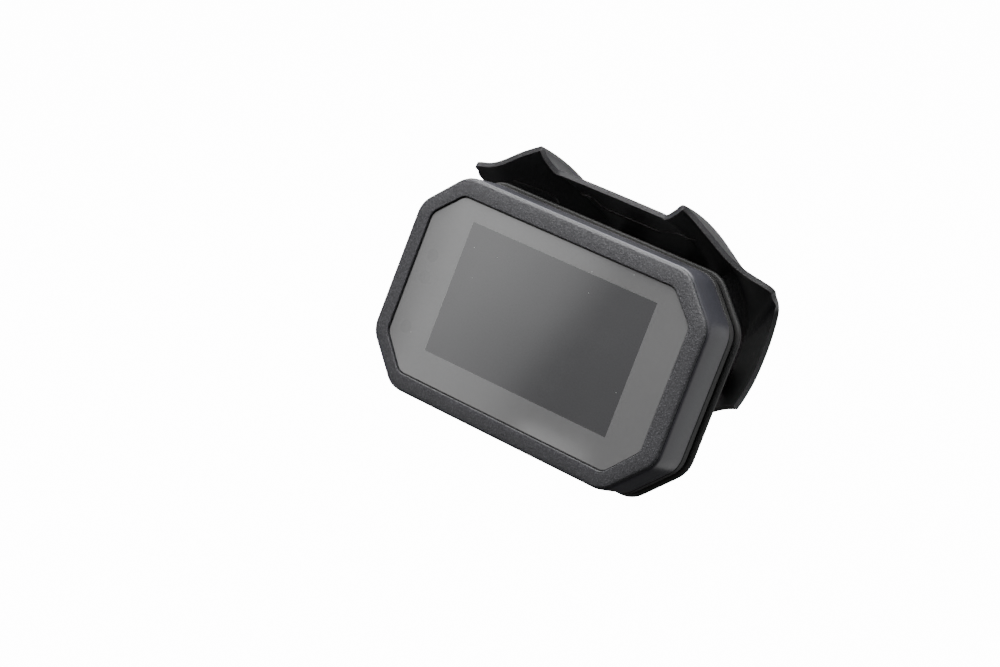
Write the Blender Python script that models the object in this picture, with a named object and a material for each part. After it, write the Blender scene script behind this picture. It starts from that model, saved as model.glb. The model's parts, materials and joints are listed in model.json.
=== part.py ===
"""Motorcycle instrument cluster: a sealed five inch display, its carrier, bracket and fly screen.

Everything is drawn in millimetres in the display's own axes: x to the rider's right, y from the
rider into the unit, z up the glass, with the origin in the middle of the glass face. One empty
then leans the whole unit back to its angle on the machine and puts the world origin in the
middle of the bracket's mounting pad.
"""

import math
from dataclasses import dataclass, replace

import bmesh
import bpy
from mathutils import Matrix, Vector

MM = 0.001

# Place on the machine
RECLINE_DEG = 33.4
PAD_FACE_Y = 58.5
PAD_CENTRE_Z = 24.0

# Depths of the stack behind the glass face
BEZEL_FRONT = -1.5
BEZEL_BACK = 2.3
GLASS_THICK = 1.8
FLANGE_FRONT = 2.6
FLANGE_BACK = 4.6
PCB_FRONT = 13.0
PCB_THICK = 1.6
PARTING_Y = 20.3
COVER_FRONT = 20.6
COVER_FLANGE_BACK = 24.5
COVER_BACK = 36.0
RIM_FRONT = 27.0
FLOOR_FRONT = 40.5
FLOOR_BACK = 43.2
PLATE_FRONT = 43.5
PLATE_BACK = 46.5

# Liquid crystal module
LCD_CENTRE_X = 1.9
LCD_HALF = (58.8, 36.2)

# Places that several pieces share, as (x, z)
COVER_SCREWS = (
    (-45.0, 46.2),
    (45.0, 46.2),
    (-79.7, -8.0),
    (79.7, -8.0),
    (-45.0, -50.4),
    (45.0, -50.4),
)
BOARD_POSTS = ((-67.5, 28.0), (67.5, 28.0), (-67.5, -13.5), (67.5, -13.5))
ISOLATORS = ((-50.0, 22.0), (50.0, 22.0), (0.0, -38.0))
TELLTALES = ((-67.0, 10.0), (-67.0, -1.0), (-67.0, -26.0))
TRAY_SCREWS = ((-30.0, 27.0), (30.0, 27.0), (-21.0, -31.0), (21.0, -31.0))
SOCKET_Z = -14.0
SOCKET_OUTER = (34.0, 16.0)
SOCKET_INNER = (30.0, 12.0)

# Screws that hold the fly screen's tabs to the bracket's stays, as (x, z, rear face of the tab)
SCREEN_SCREWS = ((-20.0, 42.0, 83.0), (20.0, 42.0, 83.0), (-50.0, 4.0, 80.4), (50.0, 4.0, 80.4))
TAB_THICK = 2.4
STAY_THICK = 2.5

# Fly screen
VISOR_THICK = 2.4
VISOR_ROWS = 6
VISOR_STEPS = 2
NOSE_ROWS = 3
NOSE_RUN = (1.5, 5.0)
NOSE_DEPTH = (4.0, 11.0)
NOSE_AXIS_Z = 20.0
NOSE_FULL_Z = 28.0

CORNER_STEPS = 3


@dataclass(frozen=True)
class Outline:
    """An eight-sided outline in the xz plane: half width, heights, chamfer legs, corner radius."""

    half_width: float
    bottom: float
    top: float
    top_cut: tuple
    bottom_cut: tuple
    radius: float
    centre_x: float = 0.0

    def grown(self, by):
        """The same outline moved outwards by a distance."""
        leg = by * (2.0 - math.sqrt(2.0))
        return replace(
            self,
            half_width=self.half_width + by,
            bottom=self.bottom - by,
            top=self.top + by,
            top_cut=(self.top_cut[0] + leg, self.top_cut[1] + leg),
            bottom_cut=(self.bottom_cut[0] + leg, self.bottom_cut[1] + leg),
            radius=max(self.radius + by, 0.8),
        )

    def corners(self):
        """The eight sharp corners, anticlockwise as the rider sees them."""
        w, (tx, tz), (bx, bz) = self.half_width, self.top_cut, self.bottom_cut
        half = [(w - bx, self.bottom), (w, self.bottom + bz), (w, self.top - tz), (w - tx, self.top)]
        mirrored = [(-x, z) for x, z in reversed(half)]
        return [Vector((x + self.centre_x, z)) for x, z in half + mirrored]

    def points(self):
        """The outline with each corner rounded by a short arc."""
        corners = self.corners()
        count = len(corners)
        found = []
        for i, corner in enumerate(corners):
            before = (corners[i - 1] - corner).normalized()
            after = (corners[(i + 1) % count] - corner).normalized()
            half_angle = before.angle(after) / 2.0
            reach = self.radius / math.tan(half_angle)
            shortest = min((corners[i - 1] - corner).length, (corners[(i + 1) % count] - corner).length)
            reach = min(reach, 0.45 * shortest)
            start, end = corner + before * reach, corner + after * reach
            for step in range(CORNER_STEPS + 1):
                t = step / CORNER_STEPS
                found.append(start * (1 - t) ** 2 + corner * 2 * t * (1 - t) + end * t**2)
        return found


GLASS = Outline(76.0, -47.2, 42.2, (14.3, 13.6), (14.5, 15.6), 7.0)
HOUSING = Outline(84.4, -55.1, 50.9, (19.9, 19.9), (20.8, 21.2), 13.0)
WINDOW = Outline(60.4, -38.4, 37.8, (1.5, 1.5), (1.5, 1.5), 1.0, LCD_CENTRE_X)
TRAY_FLOOR = Outline(76.5, -54.0, 43.5, (16.8, 16.8), (23.8, 24.2), 11.0)


# Scene and material helpers


def clear_scene():
    for obj in list(bpy.data.objects):
        bpy.data.objects.remove(obj, do_unlink=True)


def make_material(name, colour, roughness, metallic=0.0, alpha=1.0):
    material = bpy.data.materials.new(name)
    material.use_nodes = True
    shader = material.node_tree.nodes["Principled BSDF"]
    shader.inputs["Base Color"].default_value = (*colour, 1.0)
    shader.inputs["Roughness"].default_value = roughness
    shader.inputs["Metallic"].default_value = metallic
    shader.inputs["Alpha"].default_value = alpha
    return material


def make_object(name, mesh_data, material, datum, smooth_angle=None):
    """Makes an object from a bmesh, recalculating its normals, and hangs it on the datum."""
    bmesh.ops.recalc_face_normals(mesh_data, faces=mesh_data.faces)
    mesh = bpy.data.meshes.new(name)
    mesh_data.to_mesh(mesh)
    mesh_data.free()
    obj = bpy.data.objects.new(name, mesh)
    bpy.context.scene.collection.objects.link(obj)
    mesh.materials.append(material)
    obj.parent = datum
    if smooth_angle is not None:
        mesh.shade_smooth()
        mesh.set_sharp_from_angle(angle=math.radians(smooth_angle))
    return obj


# Mesh helpers


def add_loop(mesh_data, outline, y):
    return [mesh_data.verts.new((p.x * MM, y * MM, p.y * MM)) for p in outline.points()]


def bridge(mesh_data, first, second):
    for i in range(len(first)):
        j = (i + 1) % len(first)
        mesh_data.faces.new((first[i], first[j], second[j], second[i]))


def swept_ring(profile):
    """A ring with the given closed section: each entry is an outline, its growth and its depth."""
    mesh_data = bmesh.new()
    loops = [add_loop(mesh_data, outline.grown(by), y) for outline, by, y in profile]
    for i, loop in enumerate(loops):
        bridge(mesh_data, loop, loops[(i + 1) % len(loops)])
    return mesh_data


def swept_tray(profile):
    """A body whose first and last outlines are capped: a plate, or a tray if it turns back."""
    mesh_data = bmesh.new()
    loops = [add_loop(mesh_data, outline.grown(by), y) for outline, by, y in profile]
    for first, second in zip(loops, loops[1:]):
        bridge(mesh_data, first, second)
    mesh_data.faces.new(loops[0])
    mesh_data.faces.new(loops[-1])
    return mesh_data


def block(low, high, bevel=0.0):
    """A box between two corners, in millimetres, with bevelled edges if asked."""
    mesh_data = bmesh.new()
    bmesh.ops.create_cube(mesh_data, size=1.0)
    for vert in mesh_data.verts:
        for axis in range(3):
            vert.co[axis] = (low[axis] + (vert.co[axis] + 0.5) * (high[axis] - low[axis])) * MM
    if bevel:
        bmesh.ops.bevel(
            mesh_data,
            geom=list(mesh_data.edges),
            offset=bevel * MM,
            segments=2,
            profile=0.5,
            affect="EDGES",
        )
    return mesh_data


def turned(profile, centre, sides=24):
    """A turned piece along y: each entry is a radius and a depth. A zero radius closes it."""
    mesh_data = bmesh.new()
    loops = []
    for radius, depth in profile:
        loop = []
        for i in range(sides if radius > 0 else 1):
            angle = 2 * math.pi * i / sides
            point = Vector((radius * math.cos(angle), depth, radius * math.sin(angle)))
            loop.append(mesh_data.verts.new((point + Vector(centre)) * MM))
        loops.append(loop)
    closed = profile[0][0] > 0 and profile[-1][0] > 0
    pairs = list(zip(loops, loops[1:]))
    if closed:
        pairs.append((loops[-1], loops[0]))
    for first, second in pairs:
        for i in range(sides):
            j = (i + 1) % sides
            near = (first[i % len(first)], first[j % len(first)])
            far = (second[j % len(second)], second[i % len(second)])
            mesh_data.faces.new(list(dict.fromkeys(near + far)))
    return mesh_data


def rod(radius, start, end, centre, sides=24):
    """A plain cylinder along y between two depths."""
    return turned([(0, start), (radius, start), (radius, end), (0, end)], centre, sides)


def joined(bodies):
    """Several separate bodies as one bmesh, for a boolean operand."""
    result = bmesh.new()
    for body in bodies:
        mesh = bpy.data.meshes.new("operand")
        bmesh.ops.recalc_face_normals(body, faces=body.faces)
        body.to_mesh(mesh)
        body.free()
        result.from_mesh(mesh)
        bpy.data.meshes.remove(mesh)
    return result


def combine(obj, bodies, operation):
    """Adds or cuts away helper bodies with one exact boolean."""
    helper_name = f"{obj.name}_{operation.lower()}"
    helper = make_object(helper_name, joined(bodies), obj.data.materials[0], obj.parent)
    helper.hide_render = True
    helper.display_type = "WIRE"
    modifier = obj.modifiers.new(operation.title(), "BOOLEAN")
    modifier.operation = operation
    modifier.solver = "EXACT"
    modifier.object = helper


# Display unit


def build_bezel(datum, plastic):
    profile = [
        (GLASS, 0.0, -1.1),
        (GLASS, 0.4, BEZEL_FRONT),
        (HOUSING, -1.7, BEZEL_FRONT),
        (HOUSING, -0.5, -1.15),
        (HOUSING, 0.0, -0.4),
        (HOUSING, 0.0, 0.5),
        (HOUSING, -1.4, 0.6),
        (HOUSING, -1.4, BEZEL_BACK),
        (GLASS, 0.0, BEZEL_BACK),
    ]
    make_object("front_bezel", swept_ring(profile), plastic, datum, 35)


def build_glass(datum, glass, tape):
    profile = [
        (GLASS, -0.9, 0.0),
        (GLASS, -0.6, 0.3),
        (GLASS, -0.6, GLASS_THICK),
    ]
    make_object("cover_glass", swept_tray(profile), glass, datum, 30)
    bond = [(GLASS, -1.0, 1.95), (GLASS, -1.0, 2.5), (GLASS, -3.6, 2.5), (GLASS, -3.6, 1.95)]
    make_object("glass_bond_frame", swept_ring(bond), tape, datum)


def build_housing(datum, plastic, silicone):
    profile = [
        (WINDOW, 0.0, FLANGE_FRONT),
        (HOUSING, -1.1, FLANGE_FRONT),
        (HOUSING, -1.1, 1.5),
        (HOUSING, 0.0, 1.5),
        (HOUSING, 0.6, 2.1),
        (HOUSING, 0.9, PARTING_Y),
        (HOUSING, 0.0, PARTING_Y),
        (HOUSING, 0.0, PARTING_Y - 1.0),
        (HOUSING, -1.1, PARTING_Y - 1.0),
        (HOUSING, -1.1, PARTING_Y),
        (HOUSING, -1.9, PARTING_Y),
        (HOUSING, -1.9, FLANGE_BACK),
        (WINDOW, 0.0, FLANGE_BACK),
    ]
    housing = make_object("mid_housing", swept_ring(profile), plastic, datum, 35)
    bosses = [rod(3.2, FLANGE_BACK - 1.0, PARTING_Y - 0.1, (x, 0, z), sides=16) for x, z in COVER_SCREWS]
    bosses += [rod(2.8, FLANGE_BACK - 1.0, PCB_FRONT - 0.1, (x, 0, z), sides=16) for x, z in BOARD_POSTS]
    combine(housing, bosses, "UNION")
    bores = [rod(1.7, 8.0, PARTING_Y + 1.0, (x, 0, z), sides=12) for x, z in COVER_SCREWS]
    bores += [rod(1.4, 6.5, PCB_FRONT + 1.0, (x, 0, z), sides=12) for x, z in BOARD_POSTS]
    bores += [rod(3.2, FLANGE_FRONT - 1.0, FLANGE_BACK + 1.0, (x, 0, z), sides=16) for x, z in TELLTALES]
    combine(housing, bores, "DIFFERENCE")
    seal = [
        (HOUSING, -0.15, PARTING_Y - 0.9),
        (HOUSING, -0.15, PARTING_Y + 0.2),
        (HOUSING, -0.95, PARTING_Y + 0.2),
        (HOUSING, -0.95, PARTING_Y - 0.9),
    ]
    make_object("perimeter_seal", swept_ring(seal), silicone, datum)


def build_rear_cover(datum, plastic, steel, membrane):
    profile = [
        (HOUSING, -11.2, COVER_BACK - 2.0),
        (HOUSING, -10.1, COVER_FRONT),
        (HOUSING, 0.7, COVER_FRONT),
        (HOUSING, 1.0, 20.9),
        (HOUSING, 1.0, 24.1),
        (HOUSING, 0.6, COVER_FLANGE_BACK),
        (HOUSING, -7.9, COVER_FLANGE_BACK),
        (HOUSING, -8.8, 34.8),
        (HOUSING, -10.0, COVER_BACK),
    ]
    cover = make_object("rear_cover", swept_tray(profile), plastic, datum, 35)
    posts = [rod(6.0, COVER_BACK - 8.0, 41.0, (x, 0, z)) for x, z in ISOLATORS]
    combine(cover, posts, "UNION")
    w, h = SOCKET_OUTER[0] / 2 + 0.3, SOCKET_OUTER[1] / 2 + 0.3
    cuts = [rod(2.7, COVER_BACK - 5.0, 42.0, (x, 0, z), sides=16) for x, z in ISOLATORS]
    cuts += [rod(1.8, COVER_FRONT - 1.0, 26.0, (x, 0, z), sides=12) for x, z in COVER_SCREWS]
    cuts.append(block((-w, 30.0, SOCKET_Z - h), (w, 38.0, SOCKET_Z + h)))
    cuts.append(rod(2.8, 30.0, 38.0, (34.0, 0, -20.0), sides=16))
    combine(cover, cuts, "DIFFERENCE")
    head = COVER_FLANGE_BACK + 0.1
    for i, (x, z) in enumerate(COVER_SCREWS, 1):
        profile = [(0, 9.0), (1.3, 10.5), (1.3, head), (2.8, head), (2.8, head + 1.4), (2.0, head + 2.1)]
        profile += [(1.2, head + 2.1), (1.2, head + 1.0), (0, head + 1.0)]
        make_object(f"cover_screw_{i}", turned(profile, (x, 0, z), sides=16), steel, datum, 30)
    vent = [(0, 32.5), (2.5, 32.5), (2.5, 36.1), (5.5, 36.1), (5.5, 37.6), (4.8, 38.3), (0, 38.3)]
    make_object("breather_vent", turned(vent, (34.0, 0, -20.0)), membrane, datum, 30)


def build_lcd(datum, panel, acrylic, steel, film):
    w, h = LCD_HALF
    x0, x1 = LCD_CENTRE_X - w, LCD_CENTRE_X + w
    make_object("lcd_panel", block((x0, 1.95, -h), (x1, 4.3, h)), panel, datum)
    make_object("light_guide", block((x0 + 2.2, 4.7, -h + 3.4), (x1 - 2.2, 7.0, h - 2.2)), acrylic, datum)
    strip = block((x0 + 8, 4.7, -h + 1.8), (x1 - 8, 6.9, -h + 3.1))
    make_object("backlight_led_strip", strip, film, datum)
    tray_outer = Outline(w, -h, h, (1.5, 1.5), (1.5, 1.5), 1.0, LCD_CENTRE_X)
    tray = [
        (tray_outer, -1.4, 7.3),
        (tray_outer, -1.4, 4.7),
        (tray_outer, -0.6, 4.7),
        (tray_outer, -0.6, 8.1),
    ]
    make_object("backlight_tray", swept_tray(tray), steel, datum)


def strip_along(route, half_width, thickness, centre_x):
    """A flat ribbon that follows a route of (y, z) points."""
    mesh_data = bmesh.new()
    count = len(route)
    points = [Vector(p) for p in route]
    sections = []
    for i, point in enumerate(points):
        along = (points[min(i + 1, count - 1)] - points[max(i - 1, 0)]).normalized()
        side = Vector((-along.y, along.x)) * thickness / 2
        ring = []
        for across, over in ((-1, 1), (1, 1), (1, -1), (-1, -1)):
            x, place = across * half_width, point + side * over
            ring.append(mesh_data.verts.new(((centre_x + x) * MM, place.x * MM, place.y * MM)))
        sections.append(ring)
    for first, second in zip(sections, sections[1:]):
        bridge(mesh_data, first, second)
    mesh_data.faces.new(sections[0])
    mesh_data.faces.new(sections[-1])
    return mesh_data


def build_board(datum, laminate, chip, steel, plastic, film, led):
    board = make_object(
        "main_circuit_board",
        swept_tray([(HOUSING, -12.0, PCB_FRONT), (HOUSING, -12.0, PCB_FRONT + PCB_THICK)]),
        laminate,
        datum,
    )
    holes = [rod(1.5, PCB_FRONT - 1, PCB_FRONT + 3, (x, 0, z), sides=12) for x, z in BOARD_POSTS]
    combine(board, holes, "DIFFERENCE")
    back = PCB_FRONT + PCB_THICK + 0.1
    for i, (x, z) in enumerate(BOARD_POSTS, 1):
        profile = [(0, 7.0), (1.1, 8.0), (1.1, back), (2.5, back), (2.5, back + 1.0)]
        profile += [(1.6, back + 1.6), (0, back + 1.6)]
        make_object(f"board_screw_{i}", turned(profile, (x, 0, z), sides=12), steel, datum, 30)
    make_object("graphics_processor", block((-34, back, 4), (-17, back + 1.6, 21), 0.2), chip, datum)
    for i, x in enumerate((30.0, 42.0), 1):
        make_object(f"capacitor_{i}", rod(4.0, back, back + 9.0, (x, 0, -8.0)), steel, datum, 30)
    buzzer = [(0, back), (6.0, back), (6.0, back + 5.0), (5.5, back + 5.5)]
    buzzer += [(1.2, back + 5.5), (1.2, back + 3.5), (0, back + 3.5)]
    make_object("warning_buzzer", turned(buzzer, (-52.0, 0, -28.0)), plastic, datum, 30)
    route = ((3.2, -36.5), (4.2, -37.3), (8.6, -37.6), (10.2, -37.2), (10.9, -36.2), (10.9, -34.6))
    make_object("display_flex", strip_along(route, 13.0, 0.3, LCD_CENTRE_X), film, datum)
    low, high = (LCD_CENTRE_X - 15.0, 9.9, -34.4), (LCD_CENTRE_X + 15.0, PCB_FRONT - 0.1, -29.0)
    make_object("flex_connector", block(low, high, 0.3), plastic, datum)
    bar = block((-71.0, 4.9, -30.5), (-60.8, 11.8, 15.0), 0.4)
    guide = make_object("telltale_light_guide", bar, plastic, datum)
    combine(guide, [rod(2.8, 2.0, 6.0, (x, 0, z), sides=16) for x, z in TELLTALES], "UNION")
    notch = [block((-72.0, 4.0, -16.9), (-64.3, 13.0, -10.1))]
    combine(guide, notch, "DIFFERENCE")
    strip = make_object("telltale_led_strip", block((-70.0, 12.5, -29.0), (-61.8, 12.9, 13.0)), led, datum)
    lamps = [block((x - 1.6, 12.05, z - 1.4), (x + 1.6, 12.7, z + 1.4)) for x, z in TELLTALES]
    combine(strip, lamps, "UNION")
    combine(strip, [block((-72.0, 12.0, -16.9), (-64.3, 13.5, -10.1))], "DIFFERENCE")


def build_socket(datum, plastic, gold, silicone):
    """The sealed header: a shroud open towards the back, with one comb of twelve contacts in it."""
    back = PCB_FRONT + PCB_THICK + 0.1
    ow, oh = SOCKET_OUTER[0] / 2, SOCKET_OUTER[1] / 2
    iw, ih = SOCKET_INNER[0] / 2, SOCKET_INNER[1] / 2
    shroud = make_object(
        "connector_shroud",
        block((-ow, back, SOCKET_Z - oh), (ow, 41.0, SOCKET_Z + oh), 1.0),
        plastic,
        datum,
    )
    collar = [block((-ow - 2.5, 37.3, SOCKET_Z - oh - 2.5), (ow + 2.5, 38.6, SOCKET_Z + oh + 2.5), 0.4)]
    combine(shroud, collar, "UNION")
    cavity = [block((-iw, 27.0, SOCKET_Z - ih), (iw, 45.0, SOCKET_Z + ih))]
    combine(shroud, cavity, "DIFFERENCE")
    gasket = make_object(
        "connector_gasket",
        block((-ow - 2.0, 36.1, SOCKET_Z - oh - 2.0), (ow + 2.0, 37.2, SOCKET_Z + oh + 2.0)),
        silicone,
        datum,
    )
    w, h = ow + 0.2, oh + 0.2
    combine(gasket, [block((-w, 35.0, SOCKET_Z - h), (w, 39.0, SOCKET_Z + h))], "DIFFERENCE")
    comb = make_object(
        "contact_comb",
        block((-iw + 1, 27.2, SOCKET_Z - ih + 1), (iw - 1, 28.6, SOCKET_Z + ih - 1)),
        gold,
        datum,
    )
    pins = []
    for column in range(6):
        for z in (SOCKET_Z - 2.5, SOCKET_Z + 2.5):
            x = (column - 2.5) * 4.0
            pins.append(block((x - 0.5, 28.0, z - 0.4), (x + 0.5, 36.0, z + 0.4)))
    combine(comb, pins, "UNION")


# Carrier, bracket and isolators


def build_tray(datum, plastic, steel):
    profile = [
        (TRAY_FLOOR, -3.2, FLOOR_FRONT),
        (TRAY_FLOOR, -2.0, 38.4),
        (HOUSING, -0.6, 29.4),
        (HOUSING, -0.2, RIM_FRONT),
        (HOUSING, 1.8, RIM_FRONT),
        (HOUSING, 2.4, 27.6),
        (HOUSING, 2.4, 28.8),
        (TRAY_FLOOR, 0.8, 40.8),
        (TRAY_FLOOR, -1.2, FLOOR_BACK),
    ]
    tray = make_object("carrier_tray", swept_tray(profile), plastic, datum, 35)
    cuts = [rod(10.5, 38.0, 45.0, (x, 0, z)) for x, z in ISOLATORS]
    cuts.append(block((-22.0, 38.0, -25.0), (22.0, 45.0, 8.0)))
    cuts += [rod(2.4, 38.0, 45.0, (x, 0, z), sides=12) for x, z in TRAY_SCREWS]
    combine(tray, cuts, "DIFFERENCE")
    for i, (x, z) in enumerate(TRAY_SCREWS, 1):
        top = FLOOR_FRONT - 0.1
        profile = [(0, top - 2.0), (2.6, top - 2.0), (3.6, top - 1.2), (3.6, top), (2.0, top)]
        profile += [(2.0, 49.0), (0, 49.0)]
        make_object(f"tray_screw_{i}", turned(profile, (x, 0, z), sides=16), steel, datum, 30)


def stay_strip(x, z, tab_face):
    """A strip from the plate forward to a fly screen tab."""
    foot = z - 8.0
    return block((x - 6, PLATE_BACK - 1.0, foot), (x + 6, tab_face - 1.4, foot + STAY_THICK))


def stay_upright(x, z, tab_face):
    """The strip's end, turned up to meet the tab."""
    end = tab_face - 1.4
    return block((x - 6, end - STAY_THICK, z - 7.5), (x + 6, end, z + 5.0))


def build_bracket(datum, paint):
    """A pressed plate with three isolator eyes, a window for the plug and a welded mounting pad."""
    outer = Outline(64.0, -53.0, 37.0, (14.0, 14.0), (47.0, 58.0), 9.0)
    plate = make_object(
        "mounting_bracket",
        swept_tray([(outer, 0.0, PLATE_FRONT), (outer, 0.0, PLATE_BACK)]),
        paint,
        datum,
        35,
    )
    pad = block((-34.0, PLATE_BACK - 1.0, PAD_CENTRE_Z - 9), (34.0, PAD_FACE_Y, PAD_CENTRE_Z + 9), 1.5)
    combine(plate, [pad] + [stay_strip(*screw) for screw in SCREEN_SCREWS], "UNION")
    combine(plate, [stay_upright(*screw) for screw in SCREEN_SCREWS], "UNION")
    cuts = [rod(8.0, 40.0, 50.0, (x, 0, z)) for x, z in ISOLATORS]
    cuts.append(block((-21.0, 40.0, -24.0), (21.0, 50.0, 6.0)))
    cuts += [rod(2.3, 40.0, 49.8 if z > 0 else 50.0, (x, 0, z), 12) for x, z in TRAY_SCREWS]
    cuts += [rod(2.3, y - 6.0, y, (x, 0, z), 12) for x, z, y in SCREEN_SCREWS]
    bolt_hole = (3.4, PAD_FACE_Y - 11.0, PAD_FACE_Y + 1.0)
    cuts += [rod(*bolt_hole, (x, 0, PAD_CENTRE_Z), sides=16) for x in (-22.0, 22.0)]
    combine(plate, cuts, "DIFFERENCE")


def build_isolators(datum, rubber, steel):
    for i, (x, z) in enumerate(ISOLATORS, 1):
        grommet = [(4.4, 42.2), (9.6, 42.2), (9.6, 43.3), (7.8, 43.3)]
        grommet += [(7.8, 46.7), (9.6, 46.7), (9.6, 47.8), (4.4, 47.8)]
        make_object(f"rubber_grommet_{i}", turned(grommet, (x, 0, z)), rubber, datum, 30)
        sleeve = [(2.8, 41.2), (4.2, 41.2), (4.2, 48.8), (2.8, 48.8)]
        make_object(f"grommet_sleeve_{i}", turned(sleeve, (x, 0, z)), steel, datum, 30)
        washer = [(2.8, 49.0), (8.5, 49.0), (8.5, 50.2), (2.8, 50.2)]
        make_object(f"isolator_washer_{i}", turned(washer, (x, 0, z)), steel, datum, 30)
        screw = [(0, 32.0), (2.4, 33.0), (2.4, 50.4), (4.6, 50.4), (4.6, 52.2), (3.4, 53.4)]
        screw += [(1.8, 53.4), (1.8, 51.6), (0, 51.6)]
        make_object(f"isolator_screw_{i}", turned(screw, (x, 0, z), sides=16), steel, datum, 30)


# Fly screen


def visor_stations():
    """Half of the screen, centre to side: rear edge, middle and front edge of each section."""
    return [
        ((0.0, 22.5, 69.3), (0.0, 55.0, 64.5), (0.0, 88.0, 49.0)),
        ((27.5, 22.0, 69.2), (27.0, 55.0, 64.4), (25.0, 88.0, 49.5)),
        ((32.2, 20.0, 69.3), (32.0, 54.0, 65.0), (30.0, 88.0, 50.5)),
        ((37.2, 16.6, 72.8), (36.6, 52.5, 69.0), (33.5, 88.0, 52.6)),
        ((41.0, 15.2, 76.4), (41.0, 51.5, 73.0), (37.0, 88.0, 54.0)),
        ((45.6, 17.2, 74.9), (45.0, 52.5, 72.0), (40.5, 87.7, 53.2)),
        ((54.8, 20.4, 69.9), (52.5, 54.0, 67.0), (46.0, 87.0, 50.0)),
        ((66.5, 25.6, 62.9), (63.0, 56.0, 60.2), (53.0, 86.0, 43.5)),
        ((75.5, 30.4, 59.2), (70.5, 58.0, 54.6), (57.0, 85.0, 37.0)),
        ((87.4, 36.6, 56.4), (75.5, 60.0, 49.0), (60.0, 84.0, 31.0)),
        ((88.2, 41.8, 53.2), (76.2, 62.5, 45.8), (60.8, 83.6, 27.5)),
        ((86.6, 50.5, 49.2), (75.8, 66.5, 41.0), (61.0, 83.2, 23.5)),
        ((86.4, 54.6, 43.4), (75.4, 69.0, 36.0), (61.0, 83.0, 20.0)),
        ((86.4, 57.2, 29.5), (73.6, 71.0, 23.0), (61.0, 83.0, 9.0)),
        ((86.2, 57.2, 14.4), (72.5, 71.0, 8.5), (60.0, 83.0, -2.0)),
        ((85.8, 55.0, 4.0), (71.5, 70.0, -0.5), (59.0, 83.0, -8.5)),
        ((85.3, 52.6, -2.4), (70.5, 68.0, -6.5), (57.5, 83.0, -13.0)),
    ]


def eased(points, steps):
    """A smooth run of points through the given ones."""
    found = []
    for i in range(len(points) - 1):
        before, start, end = points[max(i - 1, 0)], points[i], points[i + 1]
        after = points[min(i + 2, len(points) - 1)]
        for step in range(steps):
            t = step / steps
            bend = (end - before) * t + (2 * before - 5 * start + 4 * end - after) * t**2
            bend += (3 * start - before - 3 * end + after) * t**3
            found.append(start + bend / 2)
    found.append(points[-1])
    return found


def screen_tab(x, z, rear):
    """A moulded tab inside the screen, down from its roof or in from its side."""
    if z > 20:
        return block((x - 7, rear, z - 7), (x + 7, rear + TAB_THICK, 50.0))
    reach = math.copysign(59.4, x)
    low_x, high_x = sorted((x - math.copysign(6.0, x), reach))
    return block((low_x, rear, z - 6), (high_x, rear + TAB_THICK, z + 7))


def nose_point(front, middle, share_along):
    """A point on the flange in front of the screen: turned in at the roof, straight at its lower ends."""
    share = min(1.0, max(0.0, front.z / NOSE_FULL_Z))
    onward = (front - middle).normalized()
    inward = Vector((-front.x, 0.0, NOSE_AXIS_Z - front.z)).normalized()
    bend = front + onward * (NOSE_RUN[0] + (NOSE_RUN[1] - NOSE_RUN[0]) * share)
    turned_way = (inward * share + onward * (1 - share)).normalized()
    end = bend + turned_way * (NOSE_DEPTH[0] + (NOSE_DEPTH[1] - NOSE_DEPTH[0]) * share)
    t = share_along
    return front * (1 - t) ** 2 + bend * 2 * t * (1 - t) + end * t**2


def build_visor(datum, plastic, steel, rubber):
    half = visor_stations()
    mirrored = [tuple((-x, y, z) for x, y, z in section) for section in half[:0:-1]]
    sections = mirrored + half
    edges = [eased([Vector(section[i]) for section in sections], VISOR_STEPS) for i in range(3)]
    mesh_data = bmesh.new()
    rows = []
    for row in range(VISOR_ROWS + 1):
        t = row / VISOR_ROWS
        line = [a * (1 - t) ** 2 + b * 2 * t * (1 - t) + c * t**2 for a, b, c in zip(*edges)]
        rows.append([mesh_data.verts.new(point * MM) for point in line])
    for row in range(1, NOSE_ROWS + 1):
        line = [nose_point(front, middle, row / NOSE_ROWS) for middle, front in zip(*edges[1:])]
        rows.append([mesh_data.verts.new(point * MM) for point in line])
    for first, second in zip(rows, rows[1:]):
        for i in range(len(first) - 1):
            mesh_data.faces.new((first[i], first[i + 1], second[i + 1], second[i]))
    visor = make_object("fly_screen", mesh_data, plastic, datum, 40)
    if sum(face.normal.z for face in visor.data.polygons) < 0:
        visor.data.flip_normals()
    wall = visor.modifiers.new("Wall", "SOLIDIFY")
    wall.thickness = VISOR_THICK * MM
    wall.offset = -1.0
    wall.use_even_offset = True
    combine(visor, [screen_tab(*screw) for screw in SCREEN_SCREWS], "UNION")
    combine(visor, [rod(2.5, y - 3.0, y + 4.0, (x, 0, z), 12) for x, z, y in SCREEN_SCREWS], "DIFFERENCE")
    for i, (x, z, y) in enumerate(SCREEN_SCREWS, 1):
        spacer = [(2.3, y - 1.3), (4.6, y - 1.3), (4.6, y - 0.1), (2.3, y - 0.1)]
        make_object(f"screen_spacer_{i}", turned(spacer, (x, 0, z), 16), rubber, datum, 30)
        seat = y + TAB_THICK + 0.1
        screw = [(0, y - 9.0), (2.0, y - 8.0), (2.0, seat), (4.3, seat), (4.3, seat + 0.8)]
        screw += [(3.2, seat + 2.2), (1.6, seat + 2.2), (1.6, seat + 1.0), (0, seat + 1.0)]
        make_object(f"screen_screw_{i}", turned(screw, (x, 0, z), 16), steel, datum, 30)


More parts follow.
